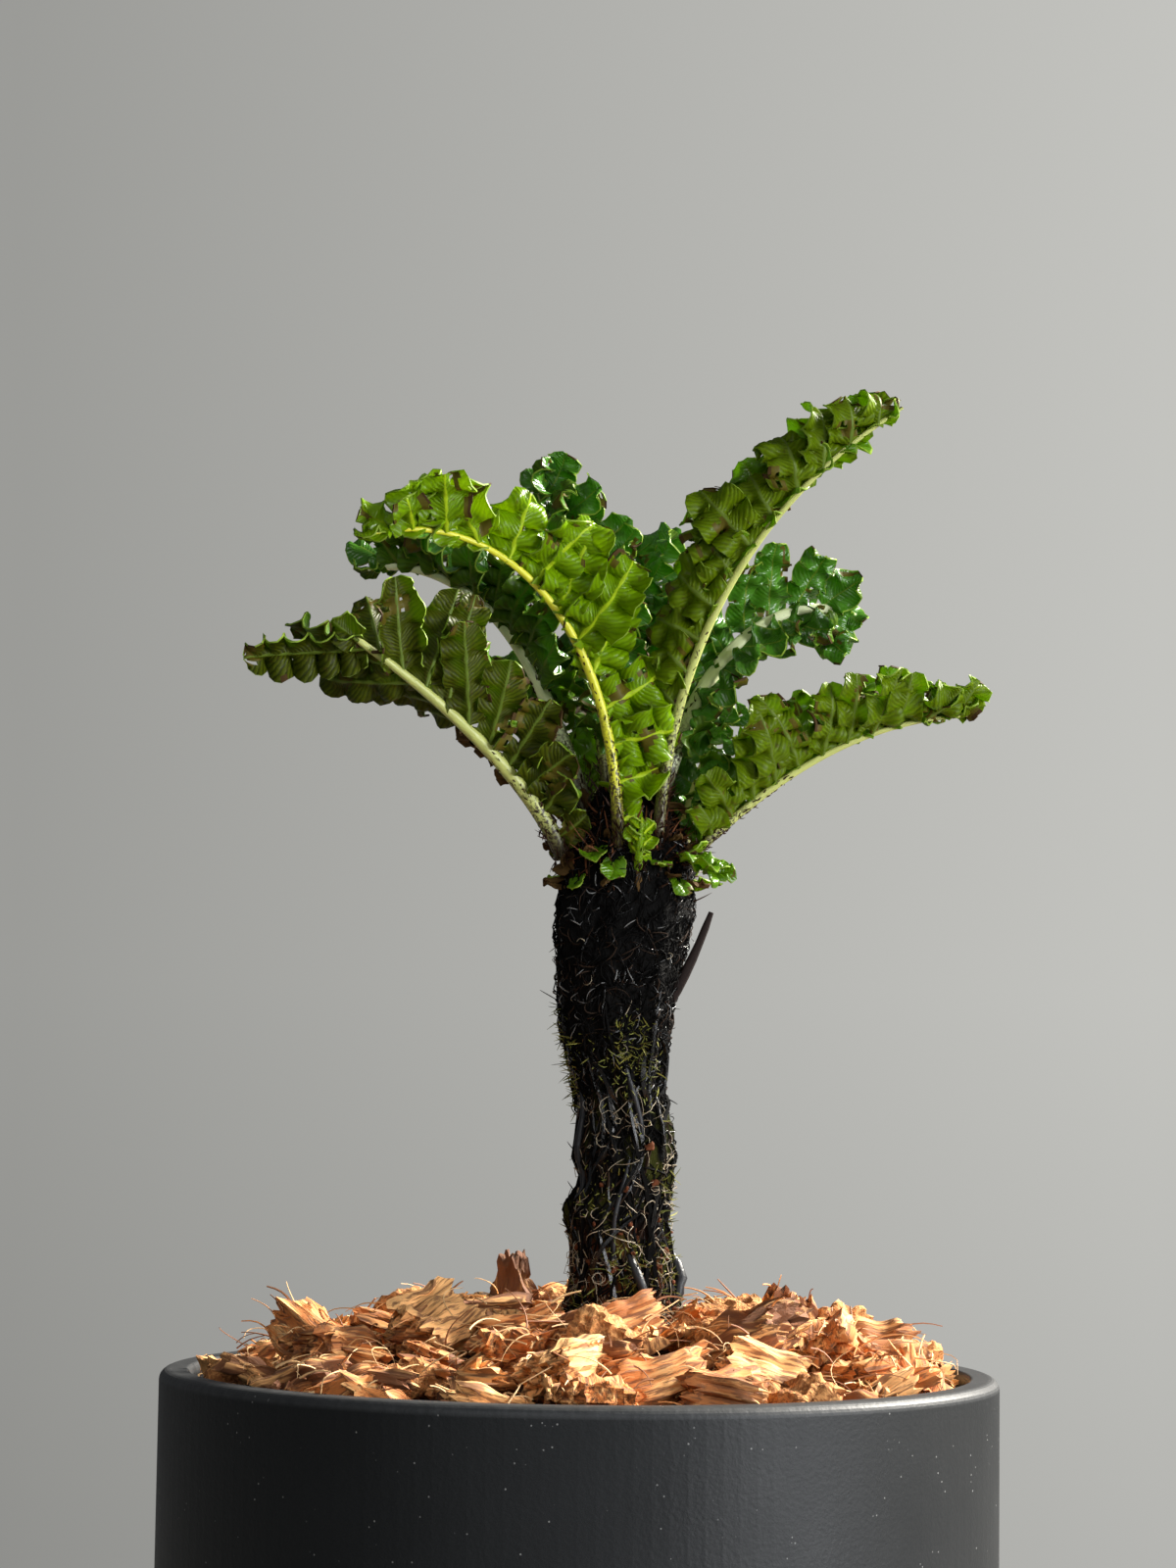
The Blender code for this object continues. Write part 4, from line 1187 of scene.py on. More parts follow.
def make_trunk(look):
    trunk, mantle = Shape(), Shape()
    add_trunk_core(trunk)
    dice = np.random.default_rng(TRUNK_SEED)
    for shape, batches in zip((mantle, trunk), fibre_batches(look)):
        for batch in batches:
            add_fibres(shape, dice, batch)
    add_wet_roots(trunk)
    add_fuzz(mantle, dice, int(look.fibres * FUZZ_SHARE))
    add_dead_root(trunk)
    add_sprigs(trunk, look.sprigs)
    add_crumbs(trunk, CRUMBS)
    materials = trunk_materials(look)
    clad = trunk.object("root_clad_trunk", materials, sharp=60.0)
    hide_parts("trunk")
    for piece in (clad, mantle.object("root_mantle", materials, sharp=60.0)):
        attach(piece, "root")


# ---- fronds

def rib_direction(frond, t):
    """Which way the rib runs at t, its share of the way from the trunk to the tip."""
    slope = math.radians(frond.rise + (frond.tip - frond.rise) * t**frond.bend)
    turn = math.radians(frond.heading + frond.swing * t)
    level = Vector((math.cos(turn), math.sin(turn), 0.0))
    return level * math.cos(slope) + Vector((0, 0, math.sin(slope)))


def rib_line(frond):
    """Points along the rib's middle line, from the trunk to the tip."""
    seat = math.radians(frond.seat)
    out = Vector((math.cos(seat), math.sin(seat), 0.0)) * frond.radius
    points = [Vector((TRUNK_X, 0.0, FOOT_Z + frond.height)) + out]
    for k in range(RIB_STEPS):
        step = rib_direction(frond, (k + 0.5) / RIB_STEPS) * (frond.length / RIB_STEPS)
        points.append(points[-1] + step)
    return points


def at(line, t):
    """The point at t along a line of evenly spaced points."""
    place = t * (len(line) - 1)
    k = min(int(place), len(line) - 2)
    return line[k].lerp(line[k + 1], place - k)


def rib_radius(frond, t):
    return frond.girth * (RIB_BASE_RADIUS + (RIB_TIP_RADIUS - RIB_BASE_RADIUS) * t**0.8)


def blade_axes(frond, t):
    """The rib's direction at t, and the blade's sideways and upper directions there."""
    along = rib_direction(frond, t)
    side = along.cross(Vector((0, 0, 1))).normalized()
    roll = Matrix.Rotation(math.radians(frond.roll * t), 3, along)
    return along, roll @ side, roll @ side.cross(along)


def length_share(frond, t, taper):
    """How a leaflet's length grows from the frond's foot and shrinks again towards its tip."""
    rising = min(t / frond.fullest, 1.0)
    falling = max(0.0, (t - frond.fullest) / (1 - frond.fullest))
    return (0.30 + 0.70 * rising * rising * (3 - 2 * rising)) * (1 - taper * falling**1.5)


def leaflets_of(frond, line):
    """Seeded leaflets in two rows, and one at the tip. Side 1 is the right-hand row."""
    dice = random.Random(FROND_SEED + sum(map(ord, frond.name)))
    spacing = (LAST_LEAF - frond.first) / frond.pairs
    for i in range(frond.pairs):
        for side in (-1, 1):
            t = frond.first + spacing * (i + 0.25 * side + 0.4)
            along, sideways, upper = blade_axes(frond, t)
            angle = LEAF_ANGLE_LOW + (LEAF_ANGLE_HIGH - LEAF_ANGLE_LOW) * t
            lean = math.radians(angle + dice.uniform(-ANGLE_JITTER, ANGLE_JITTER))
            fold = math.radians(frond.fold + dice.uniform(-ANGLE_JITTER, ANGLE_JITTER))
            out = sideways * (side * math.cos(fold)) + upper * math.sin(fold)
            way = along * math.cos(lean) + out * math.sin(lean)
            normal = (way.cross(along) * side).normalized()
            longer = 1 + dice.uniform(-LENGTH_JITTER, LENGTH_JITTER)
            taper = frond.right_taper if side > 0 else frond.left_taper
            length = frond.reach * length_share(frond, t, taper) * longer
            dead = side > 0 and t < frond.right_from
            length *= DEAD_LENGTH if dead else 1.0
            width = min(spacing * frond.length * frond.overlap, length * 0.9)
            root = at(line, t) + out * (rib_radius(frond, t) * 0.6)
            yield Leaf(t, side, root, way, normal.cross(way), normal, length, width, dead)
    along, sideways, upper = blade_axes(frond, LAST_LEAF)
    length = frond.reach * LAST_LEAF_LENGTH
    root = at(line, LAST_LEAF)
    yield Leaf(1.0, 1, root, along, -sideways, upper, length, length * 0.9, False)


LEAF_SLOTS = {name: k for k, name in enumerate((
    "bright", "mid", "deep", "olive", "under_bright", "under_mid", "under_deep", "under_olive",
    "vein", "under_vein", "bright_vein", "margin", "scorch",
    "tan", "dry", "rib", "bright_rib", "pale_rib", "scale", "rusty"))}
HALF_ACROSS = (0.04, 0.18, 0.36, 0.54, 0.70, 0.85, 0.96, 1.0)
ACROSS = np.array([-x for x in HALF_ACROSS[::-1]] + list(HALF_ACROSS))     # a leaflet's columns
MIDVEIN = len(ACROSS) // 2 - 1      # the cell between the two middle columns
BLADE_THICKNESS = 0.00024
VEIN_DEPTH = 0.00040
STEP_LENGTH = 0.00050               # of the mesh along a leaflet
STRAP_CRISP = 2.0                   # how far a long strap's edge waves
WAVE_LENGTH = 0.0036                # of the crisped edge
WAVE_HEIGHT = 0.0016                # the most that the edge rises
WAVE_SLIDE = 0.0007                 # the most that it slides along the leaflet
LOBE_LENGTH = 0.0023                # of the bulges between the side veins
WILD_TURN = 0.16                    # by which leaflets stray from their row, in radians
WILD_CURL = 0.40                    # by which their curls differ


def strayed(leaf, dice):
    """The leaflet's axes, each turned a little at random."""
    way, across, normal = (np.array(axis) for axis in (leaf.way, leaf.across, leaf.normal))
    lean, tilt = dice.normal(0, WILD_TURN, 2)
    way = unit(way + across * math.tan(lean) + normal * math.tan(tilt))
    across = unit(across - way * (across @ way))
    return way, across, np.cross(way, across) * np.sign(np.cross(way, across) @ normal)


def half_width(u, lobes, dice):
    """Half a leaflet's width on one side, as a share: broad foot, parallel, blunt scalloped tip."""
    foot = 0.80 + 0.20 * smooth(0.0, 0.22, u)
    tip = np.sqrt(np.clip(1 - (np.clip(u - 0.66, 0, None) / 0.345) ** 2.6, 0.01, 1))
    scallop = 0.94 + 0.15 * np.abs(np.sin(math.pi * lobes * u + dice.uniform(0, 3))) ** 0.8
    uneven = 1 + 0.07 * np.sin(u * dice.uniform(5, 11) + dice.uniform(0, 6))
    return foot * tip * scallop * uneven


def blade_middle(leaf, crisp, curl, dice):
    """The blade's middle surface, point by point, with the coordinates u along and x across."""
    steps = int(np.clip(leaf.length / STEP_LENGTH, 9, 42))
    u = np.linspace(0, 1, steps + 1)
    way, across, normal = strayed(leaf, dice)
    bend = curl * u**1.8 + 0.12 * np.sin(u * dice.uniform(4, 8) + dice.uniform(0, 6)) * u
    along = way * np.cos(bend)[:, None] + normal * np.sin(bend)[:, None]
    up = normal * np.cos(bend)[:, None] - way * np.sin(bend)[:, None]
    spine = np.cumsum(along, axis=0) - along[0]
    spine = np.array(leaf.root) + spine * (leaf.length / steps)
    spine = spine + across * (dice.normal(0, 0.09) * leaf.length * u**2)[:, None]
    twist = (dice.normal(0, 0.30) * u)[:, None]
    sideways = across * np.cos(twist) + up * np.sin(twist)
    up = up * np.cos(twist) - across * np.sin(twist)

    lobes = max(3, round(leaf.length / LOBE_LENGTH))
    sides = [half_width(u, lobes, dice)[:, None] for _ in range(2)]
    half = np.where(ACROSS < 0, *sides) * leaf.width / 2
    far = np.abs(ACROSS)
    height = half * dice.uniform(-0.25, 0.35) * far**2
    slide = np.zeros_like(half)
    waves = leaf.length / (WAVE_LENGTH * dice.uniform(0.75, 1.25))
    grown = smooth(0.0, 0.22, u)[:, None]
    for side in (-1, 1):
        phase = math.tau * waves * u + dice.uniform(0, 6) + 0.9 * np.sin(u * dice.uniform(3, 9))
        strength = crisp * dice.uniform(0.7, 1.3) * (0.75 + 0.25 * np.sin(u * dice.uniform(4, 12)))
        edge = half * grown * strength[:, None] * (np.sign(ACROSS) == side) * far**1.25
        height = height + WAVE_HEIGHT * np.tanh(edge / WAVE_HEIGHT) * np.sin(phase)[:, None]
        slide = slide + WAVE_SLIDE * np.tanh(edge / WAVE_HEIGHT) * np.cos(phase)[:, None]
    puff = np.abs(np.sin(math.pi * lobes * u[:, None] - 2.2 * far)) ** 0.7
    height = height + half * 0.18 * puff * far * (1 - far) * 4
    height = height + half * 0.25 * smooth(0.72, 1.0, far) * dice.uniform(-1, 1)
    x = half * ACROSS
    middle = spine[:, None] + sideways[:, None] * x[..., None] + up[:, None] * height[..., None]
    return u, x, middle + along[:, None] * slide[..., None], np.array(up)[:, None]


def scorching(u, leaf, brown, seed):
    """For every cell of a leaflet: whether it is there, tanned, and scorched."""
    uc = ((u[:-1] + u[1:]) / 2)[:, None] + np.zeros(len(ACROSS) - 1)
    vc = ((ACROSS[:-1] + ACROSS[1:]) / 2) + np.zeros_like(uc)
    spot = np.stack([uc * leaf.length, vc * leaf.width / 2, np.zeros_like(uc)], -1)
    patchy, fine = Ripple(seed, 0.0060, 8)(spot), Ripple(seed + 1, 0.0017, 8)(spot)
    edge = np.abs(vc)
    rim = 1.6 * (smooth(0.6, 1.0, edge) - 0.5) + 0.8 * smooth(0.72, 1.0, uc)
    burnt = patchy * 0.8 + fine * 0.5 + rim
    tan = patchy * 1.1 + fine * 0.35 + 0.5 * smooth(0.3, 0.9, uc) > 2.4 - 2.1 * brown
    scorch = burnt > 2.45 - 1.5 * brown
    gone = (burnt + 0.5 * fine > 3.2 - 1.3 * brown) & ((edge > 0.85) | (uc > 0.9))
    gone |= (fine * 0.9 + patchy > 2.75 - 0.8 * brown) & (edge > 0.15) & (edge < 0.85)
    return ~gone, tan, scorch


def add_leaflet(shape, leaf, tone, brown, crisp, curl, dice):
    """A crisped leaflet: an upper and a lower face, a midvein that stands out below, torn edges."""
    u, x, middle, up = blade_middle(leaf, crisp, curl, dice)
    seed = int(dice.integers(1e6))
    rows, columns = middle.shape[:2]
    across_rows = np.cross(np.gradient(middle, axis=0), np.gradient(middle, axis=1))
    sense = np.sign((across_rows * up).sum())
    face = unit(across_rows) * sense
    vein = VEIN_DEPTH * np.exp(-((ACROSS / 0.12) ** 2)) * (1 - 0.75 * u)[:, None]
    top = middle + face * (BLADE_THICKNESS / 2)
    bottom = middle - face * (BLADE_THICKNESS / 2 + vein)[..., None]

    present, tan, scorch = scorching(u, leaf, brown, seed)
    slot = LEAF_SLOTS
    faces = []
    for name, vein_name in ((tone, "vein"), ("under_" + tone, "under_vein")):
        colours = np.full(present.shape, slot["dry" if tone == "dry" else name])
        vein_name = "bright_vein" if tone == "bright" else vein_name
        if tone != "dry":
            colours[tan] = slot["tan"]
            colours[:, MIDVEIN] = slot[vein_name]
            if not name.startswith("under"):
                colours[:, (0, -1)] = slot["margin"]
            colours[scorch] = slot["scorch"]
        faces.append(colours)
    rim = np.where(scorch, slot["scorch"], slot["dry" if tone == "dry" else "margin"])

    row, column = np.nonzero(present)
    first = row * columns + column
    corners = np.stack([first, first + 1, first + columns + 1, first + columns], 1)
    count = rows * columns
    around = np.pad(present, 1)
    rims, rim_slots = [], []
    for di, dj, start, end in ((0, -1, 3, 0), (0, 1, 1, 2), (-1, 0, 0, 1), (1, 0, 2, 3)):
        edge = ~around[row + 1 + di, column + 1 + dj]
        a, b = corners[edge, start], corners[edge, end]
        rims.append(np.stack([b, a, a + count, b + count], 1))
        rim_slots.append(rim[row, column][edge])
    patches = [corners, corners[:, ::-1] + count, np.concatenate(rims)]
    if sense > 0:
        patches = [patch[:, ::-1] for patch in patches]
    slots = (faces[0][row, column], faces[1][row, column], np.concatenate(rim_slots))

    places = np.zeros((2, rows, columns, 3))
    places[..., 0] = u[:, None] * leaf.length
    places[..., 1] = x
    places[..., 2] = (seed % 997) * 0.01
    points = np.stack([top, bottom]).reshape(-1, 3)
    used, numbers = np.unique(np.concatenate(patches), return_inverse=True)
    ends = np.cumsum([len(patch) for patch in patches])[:-1]
    patches = np.split(numbers.reshape(-1, 4), ends)
    shape.add(points[used], places.reshape(-1, 3)[used], list(zip(patches, slots)))


def add_rib(shape, frond, line):
    """The rib: a tapering tube, grooved along its upper side, that ends in a blunt tip."""
    rings, sides = max(14, round(frond.length / 0.0011)), 12
    points, places = [], []
    for k in range(rings + 1):
        t = k / rings
        _, sideways, upper = blade_axes(frond, t)
        radius = rib_radius(frond, t) * 0.92 * (1 if t < 0.97 else 0.6)
        for i in range(sides):
            turn = math.tau * i / sides
            groove = 1 - 0.35 * max(0.0, math.sin(turn)) ** 8
            out = sideways * math.cos(turn) + upper * (math.sin(turn) * groove)
            points.append(at(line, t) + out * radius)
            places.append((t * frond.length, turn * 0.001, t))
    ends = np.arange(sides)[None]
    patches = (grid_faces(rings + 1, sides, wrap=True), ends[:, ::-1], ends + rings * sides)
    slot = LEAF_SLOTS[frond.rib]
    shape.add(np.array(points), np.array(places), [(patch, slot) for patch in patches])


def add_scales(shape, frond, line, dice):
    """Dark scales, dense at the frond's foot and fewer up the rib."""
    count = int(FOOT_SCALES * min(1.0, frond.length / 0.04))
    steps = 4
    s = np.linspace(0, 1, steps)[:, None]
    paths, radii = np.zeros((count, steps, 3)), np.zeros((count, steps))
    for k, t in enumerate(dice.uniform(0, 1, count) ** 2.2 * 0.42):
        along, sideways, upper = (np.array(axis) for axis in blade_axes(frond, t))
        turn = dice.uniform(0, math.tau)
        out = sideways * math.cos(turn) + upper * math.sin(turn)
        foot = np.array(at(line, t)) + out * rib_radius(frond, t) * 0.88
        shaggy = t < 0.12
        loose = dice.uniform(0.15, 0.9) if shaggy else dice.uniform(0.0, 0.25)
        way = unit(along * dice.choice((1, 1, -1)) + out * loose + dice.normal(0, 0.3, 3))
        long = dice.uniform(0.0007, 0.0022) * (1.0 if shaggy else 0.45)
        paths[k] = foot + way * long * s + out * long * 0.3 * s * (1 - s)
        radii[k] = 0.00013 * dice.uniform(0.7, 1.4) * np.array((0.7, 1.0, 0.8, 0.2))
    seed = int(dice.integers(1e6))
    add_tubes(shape, paths, radii, 3, LEAF_SLOTS["scale"], seed, flatten=0.5)


SIDE_VEINS = 0.00052                # how far the side veins stand apart


def blade_material(name, colour, roughness, through, share, underside=False, veins=0.5):
    """A leaf's face: fine side veins in a herringbone, puffed between them, blotched."""
    surface = Surface(name, colour, roughness)
    where = surface.place()
    long, wide, _ = surface.parts(where)
    spread = surface.noise(where, 420.0, 2.0) * 0.0010
    herringbone = ((long - wide.size() * 0.6 + spread) * (math.tau / SIDE_VEINS)).sine()
    ridge = herringbone.above(0.45, 0.7)
    blotch = surface.noise(where, 190.0, 3.0)
    fleck = surface.noise(where, 1300.0, 2.0)
    tone = surface.mix(blotch, darker(colour, 0.55), darker(colour, 1.5))
    if underside:
        tone = surface.mix(ridge * veins, tone, darker(colour, 0.34))
        tone = surface.mix(fleck.above(0.66, 0.08) * 0.6, tone, (0.060, 0.034, 0.008))
    else:
        tone = surface.mix(ridge * 0.2, tone, darker(colour, 1.6))
    height = herringbone * (-0.35 if underside else 0.30) + fleck * 0.5
    surface.set(Base_Color=tone, Roughness=roughness - 0.06 + blotch * 0.14,
                Normal=surface.bump(height, 0.5, 0.00018),
                Specular_IOR_Level=0.14 if underside else 0.48)
    surface.let_light_through(through, share)
    return surface.material


def plain_leaf_material(name, colour, roughness, share):
    surface = Surface(name, colour, roughness)
    where = surface.place()
    tone = surface.noise(where, 700.0, 3.0)
    surface.set(Base_Color=surface.mix(tone, darker(colour, 0.6), darker(colour, 1.4)),
                Normal=surface.bump(tone, 0.4, 0.0003), Specular_IOR_Level=0.15)
    if share:
        surface.let_light_through(colour, share)
    return surface.material


def rib_material(name, colour):
    """Pale and smooth, speckled brown towards the frond's foot."""
    surface = Surface(name, colour, 0.42)
    where = surface.place()
    t = surface.parts(where)[2]
    streak = surface.noise(surface.stretched(where, (0.3, 1.0, 0.0)), 1500.0, 2.0)
    speck = surface.noise(surface.position(), 2600.0, 2.0).above(0.53, 0.06)
    low = 1.0 - t.above(0.18, 0.36)
    foot = 1.0 - t.above(0.11, 0.16)
    tone = surface.mix(streak, darker(colour, 0.75), darker(colour, 1.2))
    tone = surface.mix(speck * low * 2.0, tone, (0.030, 0.018, 0.010))
    tone = surface.mix(foot * 0.85, tone, (0.035, 0.018, 0.012))
    surface.set(Base_Color=tone, Normal=surface.bump(streak, 0.3, 0.0003))
    surface.let_light_through(colour, 0.2)
    return surface.material


def leaf_materials(look):
    """In the order of LEAF_SLOTS."""
    glow, shine, dim = (0.55, 0.75, 0.004), (0.28, 0.46, 0.006), (0.10, 0.28, 0.012)
    blades = (                      # name, colour, roughness, light through it, its share
        ("blade_bright", look.bright, 0.26, glow, 0.40),
        ("blade_mid", look.mid, 0.28, shine, 0.36),
        ("blade_deep", look.deep, 0.26, dim, 0.25),
        ("blade_olive", darker(look.mid, 0.9), 0.32, shine, 0.30),
        ("under_bright", darker(look.bright, 0.78), 0.28, glow, 0.29, True),
        ("under_mid", (0.12, 0.185, 0.002), 0.38, shine, 0.42, True),
        ("under_deep", (0.070, 0.14, 0.008), 0.40, dim, 0.30, True),
        ("under_olive", look.olive, 0.45, (0.20, 0.30, 0.004), 0.34, True, 0.9),
    )
    parts = (                       # name, colour, roughness, share of light through it
        ("vein", darker(look.margin, 0.75), 0.40, 0.3),
        ("under_vein", darker(look.margin, 0.45), 0.45, 0.25),
        ("bright_vein", (0.36, 0.50, 0.010), 0.45, 0.35),
        ("leaf_margin", look.margin, 0.45, 0.3),
        ("scorched", look.scorch, 0.70, 0.1),
        ("tanned", look.tan, 0.50, 0.2),
        ("dry_leaf", darker(look.scorch, 1.3), 0.85, 0.0),
    )
    ribs = (
        ("frond_rib", look.rib),
        # bright_rib: a yellow rib painted bright for the light that shines through it.
        ("bright_rib", (0.66, 0.66, 0.03)),
        # pale_rib: a rib painted paler than it is, as if lit, where it lies in shade.
        ("pale_rib", (0.78, 0.84, 0.50)),
    )
    scales = (
        ("scale", darker(look.scale, 0.2), 0.5, 0.0),
        ("rusty_scale", look.scale, 0.6, 0.0),
    )
    makers = ((blade_material, blades), (plain_leaf_material, parts), (rib_material, ribs),
              (plain_leaf_material, scales))
    return [make(*row) for make, rows in makers for row in rows]


def make_fronds(look, materials):
    for number, frond in enumerate(FRONDS):
        dice = np.random.default_rng(LEAFLET_SEED + number)
        line = rib_line(frond)
        blades = Shape()
        add_rib(blades, frond, line)
        add_scales(blades, frond, line, dice)
        for leaf in leaflets_of(frond, line):
            strap = leaf.side > 0 and frond.right_from > 0
            wavy = STRAP_CRISP if strap else 1.35 - 0.6 * leaf.t
            crisp = look.crisp * frond.crisp * wavy
            curl = dice.normal(frond.curl, WILD_CURL)
            tone = "dry" if leaf.dead else frond.tone
            if leaf.side > 0 and leaf.t < 0.75:
                leaf = leaf._replace(length=leaf.length * frond.right_share)
            add_leaflet(blades, leaf, tone, frond.brown, crisp, curl, dice)
        piece = blades.object(frond.name + "_crisped", materials, sharp=75.0)
        nodes = [frond.name + "_lower", frond.name + "_upper"] if frond.split else [frond.name]
        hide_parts(*nodes)
        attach(piece, "root")


# ---- the crown's foot

SPROUT_BROWN = 0.05                 # how much of a sprout is scorched
SPROUT_CRISP = 0.35                 # how far its edges wave, as a share of the setting
WITHERED_BROWN = 0.4


def trunk_leaf(degrees, height, length, slope, width=0.85):
    """A leaflet that springs straight from the trunk, its width a share of its length."""
    turn, tilt = math.radians(degrees), math.radians(slope)
    root = trunk_point(np.array([height]), np.array([turn]), -0.0003)[0]
    out = np.array((math.cos(turn), math.sin(turn), 0))
    across = np.array((-math.sin(turn), math.cos(turn), 0))
    way = out * math.cos(tilt) + np.array((0, 0, math.sin(tilt)))
    return Leaf(0.5, 1, root, way, across, np.cross(way, across), length, length * width, False)


def make_sprouts(look, materials):
    """Young leaves, withered leaflets and rusty scales between the fronds' feet."""
    dice = np.random.default_rng(CROWN_SEED)
    crown = Shape()
    for degrees, height, length, slope, tone in SPROUTS:
        leaf = trunk_leaf(degrees, height, length, slope)
        curl = dice.uniform(-0.4, 0.9)
        add_leaflet(crown, leaf, tone, SPROUT_BROWN, SPROUT_CRISP * look.crisp, curl, dice)
    for _ in range(look.withered):
        degrees, height = dice.uniform(0, 360), dice.uniform(0.064, 0.077)
        length, slope = dice.uniform(0.002, 0.0042), dice.uniform(-40, 75)
        leaf = trunk_leaf(degrees, height, length, slope, width=0.45)
        curl = dice.normal(0, 1.3)
        add_leaflet(crown, leaf, "dry", WITHERED_BROWN, look.crisp, curl, dice)
    count = look.scales
    heights = np.clip(dice.normal(0.0715, 0.0035, count), 0.062, 0.079)
    angles = dice.uniform(0, math.tau, count)
    taper = np.array((0.8, 1.0, 1.0, 0.9, 0.6, 0.2))
    paths = bristles(dice, heights, angles, len(taper), (0.0010, 0.0032), out=0.7, up=0.6,
                     spread=0.5)
    radii = dice.uniform(0.00008, 0.00020, count)[:, None] * taper
    slots = dice.choice([LEAF_SLOTS["rusty"], LEAF_SLOTS["scale"]], count)
    add_tubes(crown, paths, radii, 4, slots, CROWN_SEED + 1, flatten=0.5)
    piece = crown.object("crown_sprouts", materials, sharp=75.0)
    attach(piece, "root")


# ---- stage

CAMERA_PLACE = Vector((0.0001, -0.5071, 0.150))
CAMERA_RISE = 5.02                  # above level, in degrees
CAMERA_ROLL = 0.77                  # in degrees
CAMERA_LENS = 80.12                 # in mm, for a frame 36 mm high
STAGE_RADIUS = 0.55


FLOOR_SIDES = 96
LIGHTS = (                          # name, place, aim, size, share of the key light, colour
    ("key", (0.62, 0.30, 0.62), (0.0, 0.0, 0.17), 0.16, 1.0, (1.0, 0.95, 0.86)),
    ("side", (0.60, -0.42, 0.20), (0.0, 0.0, 0.12), 0.40, 0.20, (0.95, 0.97, 1.0)),
    ("front", (-0.10, -0.80, 0.50), (0.0, 0.0, 0.20), 0.40, 0.045, (1.0, 1.0, 1.0)),
)


def make_camera():
    data = bpy.data.cameras.new("camera")
    data.lens = CAMERA_LENS
    data.clip_start, data.clip_end = 0.01, 20.0
    camera = add_object("camera", data)
    aimed = Matrix.Rotation(math.radians(90 + CAMERA_RISE), 4, "X")
    rolled = aimed @ Matrix.Rotation(math.radians(CAMERA_ROLL), 4, "Z")
    camera.matrix_world = Matrix.Translation(CAMERA_PLACE) @ rolled
    bpy.context.scene.camera = camera


def make_light(name, place, aim, size, power, colour):
    data = bpy.data.lights.new(name, "AREA")
    data.shape = "DISK"
    data.size = size
    data.energy = power
    data.color = colour
    light = add_object(name, data)
    light.location = place
    light.rotation_mode = "QUATERNION"
    light.rotation_quaternion = (Vector(aim) - Vector(place)).to_track_quat("-Z", "Y")


def make_world(look):
    """A plain grey room: its seen colour painted lighter to the right and darker low down, as light
    falls on a wall, and dim where it lights the plant.
    """
    world = bpy.data.worlds.new("grey_room")
    bpy.context.scene.world = world
    world.use_nodes = True
    room = Nodes(world.node_tree)
    where = room.node("ShaderNodeTexCoord").colour("Generated")
    across, _, up = room.parts(where)
    # Painted light on the backdrop: lighter to the right, darker towards the bottom.
    sockets = {"Value": across, "From Min": -0.16, "From Max": 0.16}
    right = room.node("ShaderNodeMapRange", None, sockets).value("Result")
    tone = room.mix(right, darker(look.backdrop, 0.78), darker(look.backdrop, 1.30))
    sockets = {"Value": up, "From Min": -0.13, "From Max": 0.03, "To Min": 0.84}
    high = room.node("ShaderNodeMapRange", None, sockets).value("Result")
    tone = room.node("ShaderNodeVectorMath", {"operation": "SCALE"}, {0: tone, "Scale": high})
    backdrop = room.tree.nodes["Background"]
    room.join(backdrop.inputs["Color"], tone.colour("Vector"))
    sockets = {"Color": (0.93, 0.96, 1.0), "Strength": look.fill}
    dim = room.node("ShaderNodeBackground", None, sockets).colour()
    seen = room.node("ShaderNodeLightPath").colour("Is Camera Ray")
    sockets = {0: seen, 1: dim, 2: backdrop.outputs[0]}
    either = room.node("ShaderNodeMixShader", None, sockets).colour()
    room.join(room.tree.nodes["World Output"].inputs["Surface"], either)


def make_floor(look):
    surface = Surface("pale_floor", darker(look.backdrop, 0.38), 0.9)
    speck = surface.noise(surface.position(), 300.0, 3.0)
    tone = surface.mix(speck, darker(look.backdrop, 0.36), darker(look.backdrop, 0.40))
    surface.set(Base_Color=tone, Specular_IOR_Level=0.05)
    mesh = bpy.data.meshes.new("floor")
    turns = [math.tau * k / FLOOR_SIDES for k in range(FLOOR_SIDES)]
    rim = [(STAGE_RADIUS * math.cos(turn), STAGE_RADIUS * math.sin(turn), 0.0) for turn in turns]
    mesh.from_pydata(rim, [], [tuple(range(FLOOR_SIDES))])
    mesh.materials.append(surface.material)
    add_object("floor", mesh)


def make_stage(look):
    bpy.context.scene.view_settings.view_transform = "Standard"
    make_camera()
    make_world(look)
    make_floor(look)
    for name, place, aim, size, share, colour in LIGHTS:
        make_light(name, place, aim, size, look.key * share, colour)


# ---- operators and panel

class FERN_OT_add_pot(bpy.types.Operator):
    """Turns the glazed pot"""

    bl_idname = "fern.add_pot"
    bl_label = "Add pot"

    def execute(self, context):
        make_pot(context.scene.fern_pot)
        return {"FINISHED"}


class FERN_OT_add_mix(bpy.types.Operator):
    """Fills the pot with coir and tops it with husk chips and loose strands"""

    bl_idname = "fern.add_mix"
    bl_label = "Add potting mix"

    def execute(self, context):
        make_mix(context.scene.fern_mix)
        return {"FINISHED"}


class FERN_OT_add_trunk(bpy.types.Operator):
    """Grows the trunk in its mantle of roots, hairs and moss"""

    bl_idname = "fern.add_trunk"
    bl_label = "Add trunk"

    def execute(self, context):
        make_trunk(context.scene.fern_trunk)
        return {"FINISHED"}


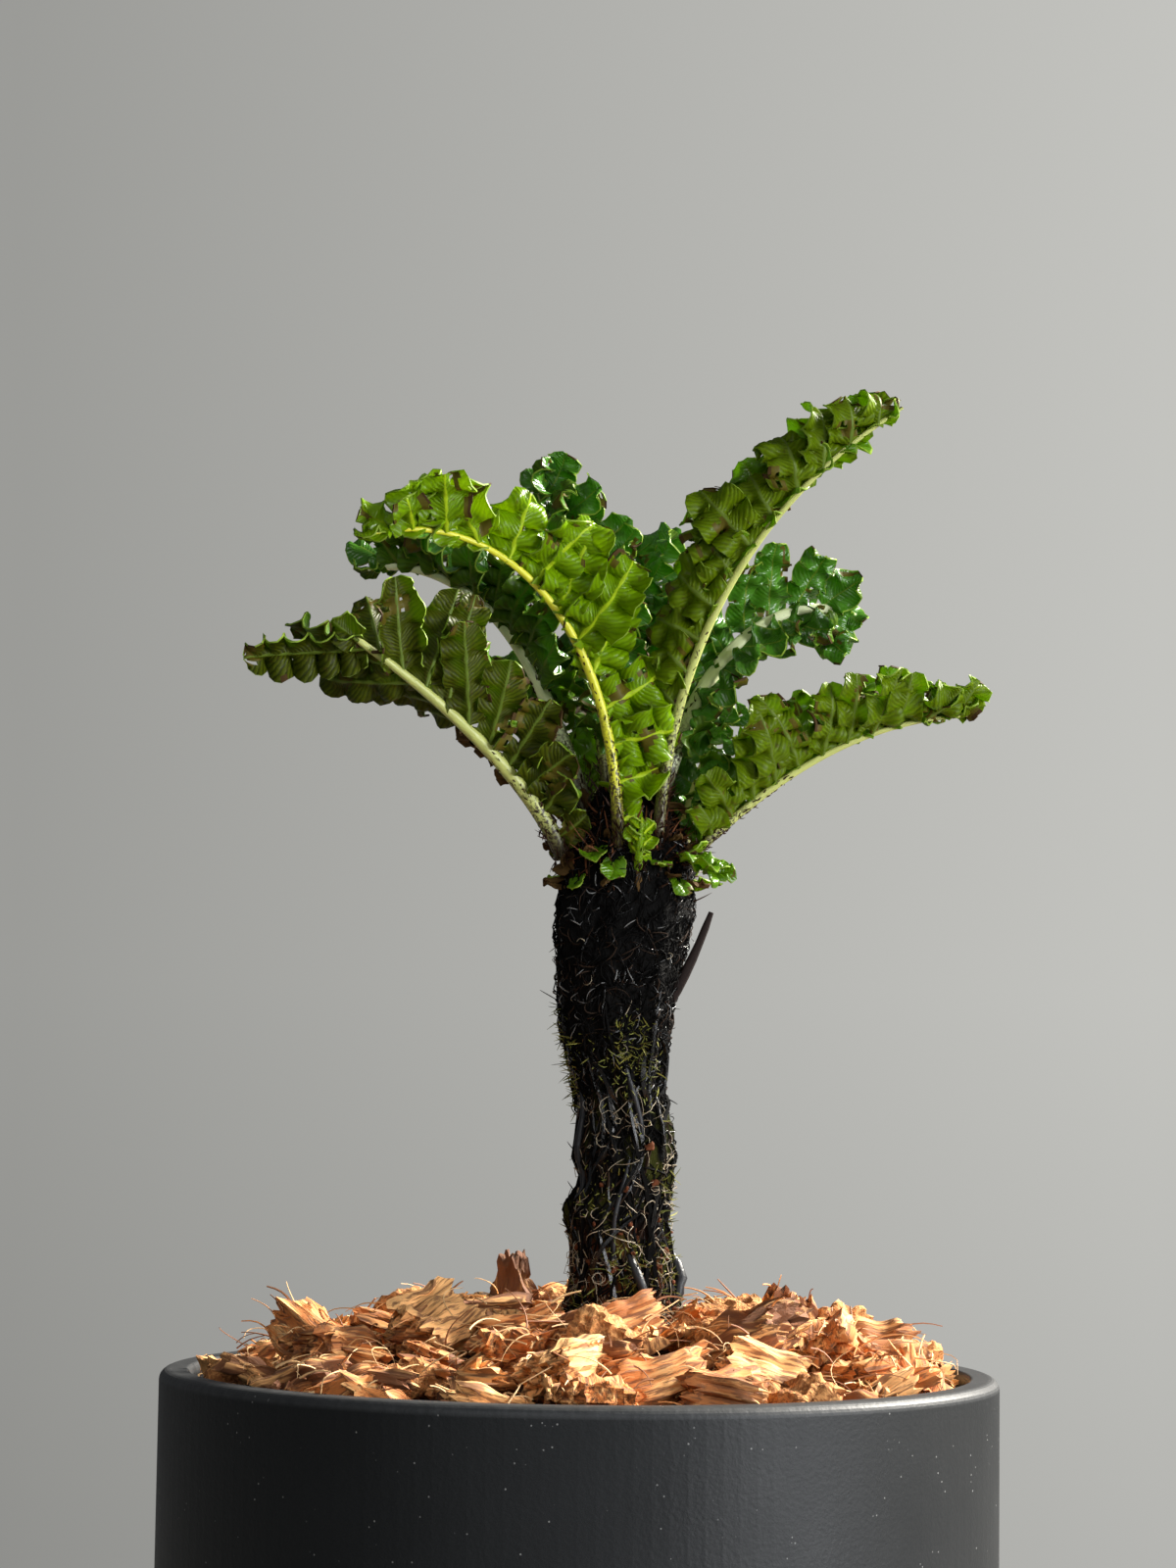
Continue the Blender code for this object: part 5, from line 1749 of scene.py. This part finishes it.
class FERN_OT_add_fronds(bpy.types.Operator):
    """Grows every frond, with its rib, scales and crisped leaflets, and the crown's foot"""

    bl_idname = "fern.add_fronds"
    bl_label = "Add fronds"

    def execute(self, context):
        look = context.scene.fern_fronds
        materials = leaf_materials(look)
        make_fronds(look, materials)
        make_sprouts(look, materials)
        return {"FINISHED"}


class FERN_OT_add_stage(bpy.types.Operator):
    """Sets up the camera, the lights, the grey room and the floor"""

    bl_idname = "fern.add_stage"
    bl_label = "Add stage"

    def execute(self, context):
        make_stage(context.scene.fern_stage)
        return {"FINISHED"}


class FERN_PT_panel(bpy.types.Panel):
    """Lists the fern's pieces and their settings"""

    bl_idname = "FERN_PT_panel"
    bl_label = "Potted tree fern"
    bl_space_type = "VIEW_3D"
    bl_region_type = "UI"
    bl_category = "Fern"

    def draw(self, context):
        for operator, group in PIECES:
            box = self.layout.box()
            settings = getattr(context.scene, group)
            for name in type(settings).__annotations__:
                box.prop(settings, name)
            box.operator(operator)


PIECES = (
    ("fern.add_pot", "fern_pot"),
    ("fern.add_mix", "fern_mix"),
    ("fern.add_trunk", "fern_trunk"),
    ("fern.add_fronds", "fern_fronds"),
    ("fern.add_stage", "fern_stage"),
)
SETTINGS = {
    "fern_pot": FernPotSettings,
    "fern_mix": FernMixSettings,
    "fern_trunk": FernTrunkSettings,
    "fern_fronds": FernFrondSettings,
    "fern_stage": FernStageSettings,
}
CLASSES = (*SETTINGS.values(), FERN_OT_add_pot, FERN_OT_add_mix, FERN_OT_add_trunk,
           FERN_OT_add_fronds, FERN_OT_add_stage, FERN_PT_panel)


def register():
    for thing in CLASSES:
        bpy.utils.register_class(thing)
    for name, group in SETTINGS.items():
        setattr(bpy.types.Scene, name, PointerProperty(type=group))


def unregister():
    for name in SETTINGS:
        delattr(bpy.types.Scene, name)
    for thing in reversed(CLASSES):
        bpy.utils.unregister_class(thing)


def main():
    register()
    bpy.ops.fern.add_pot()
    bpy.ops.fern.add_mix()
    bpy.ops.fern.add_trunk()
    bpy.ops.fern.add_fronds()
    bpy.ops.fern.add_stage()


if __name__ == "__main__":
    main()
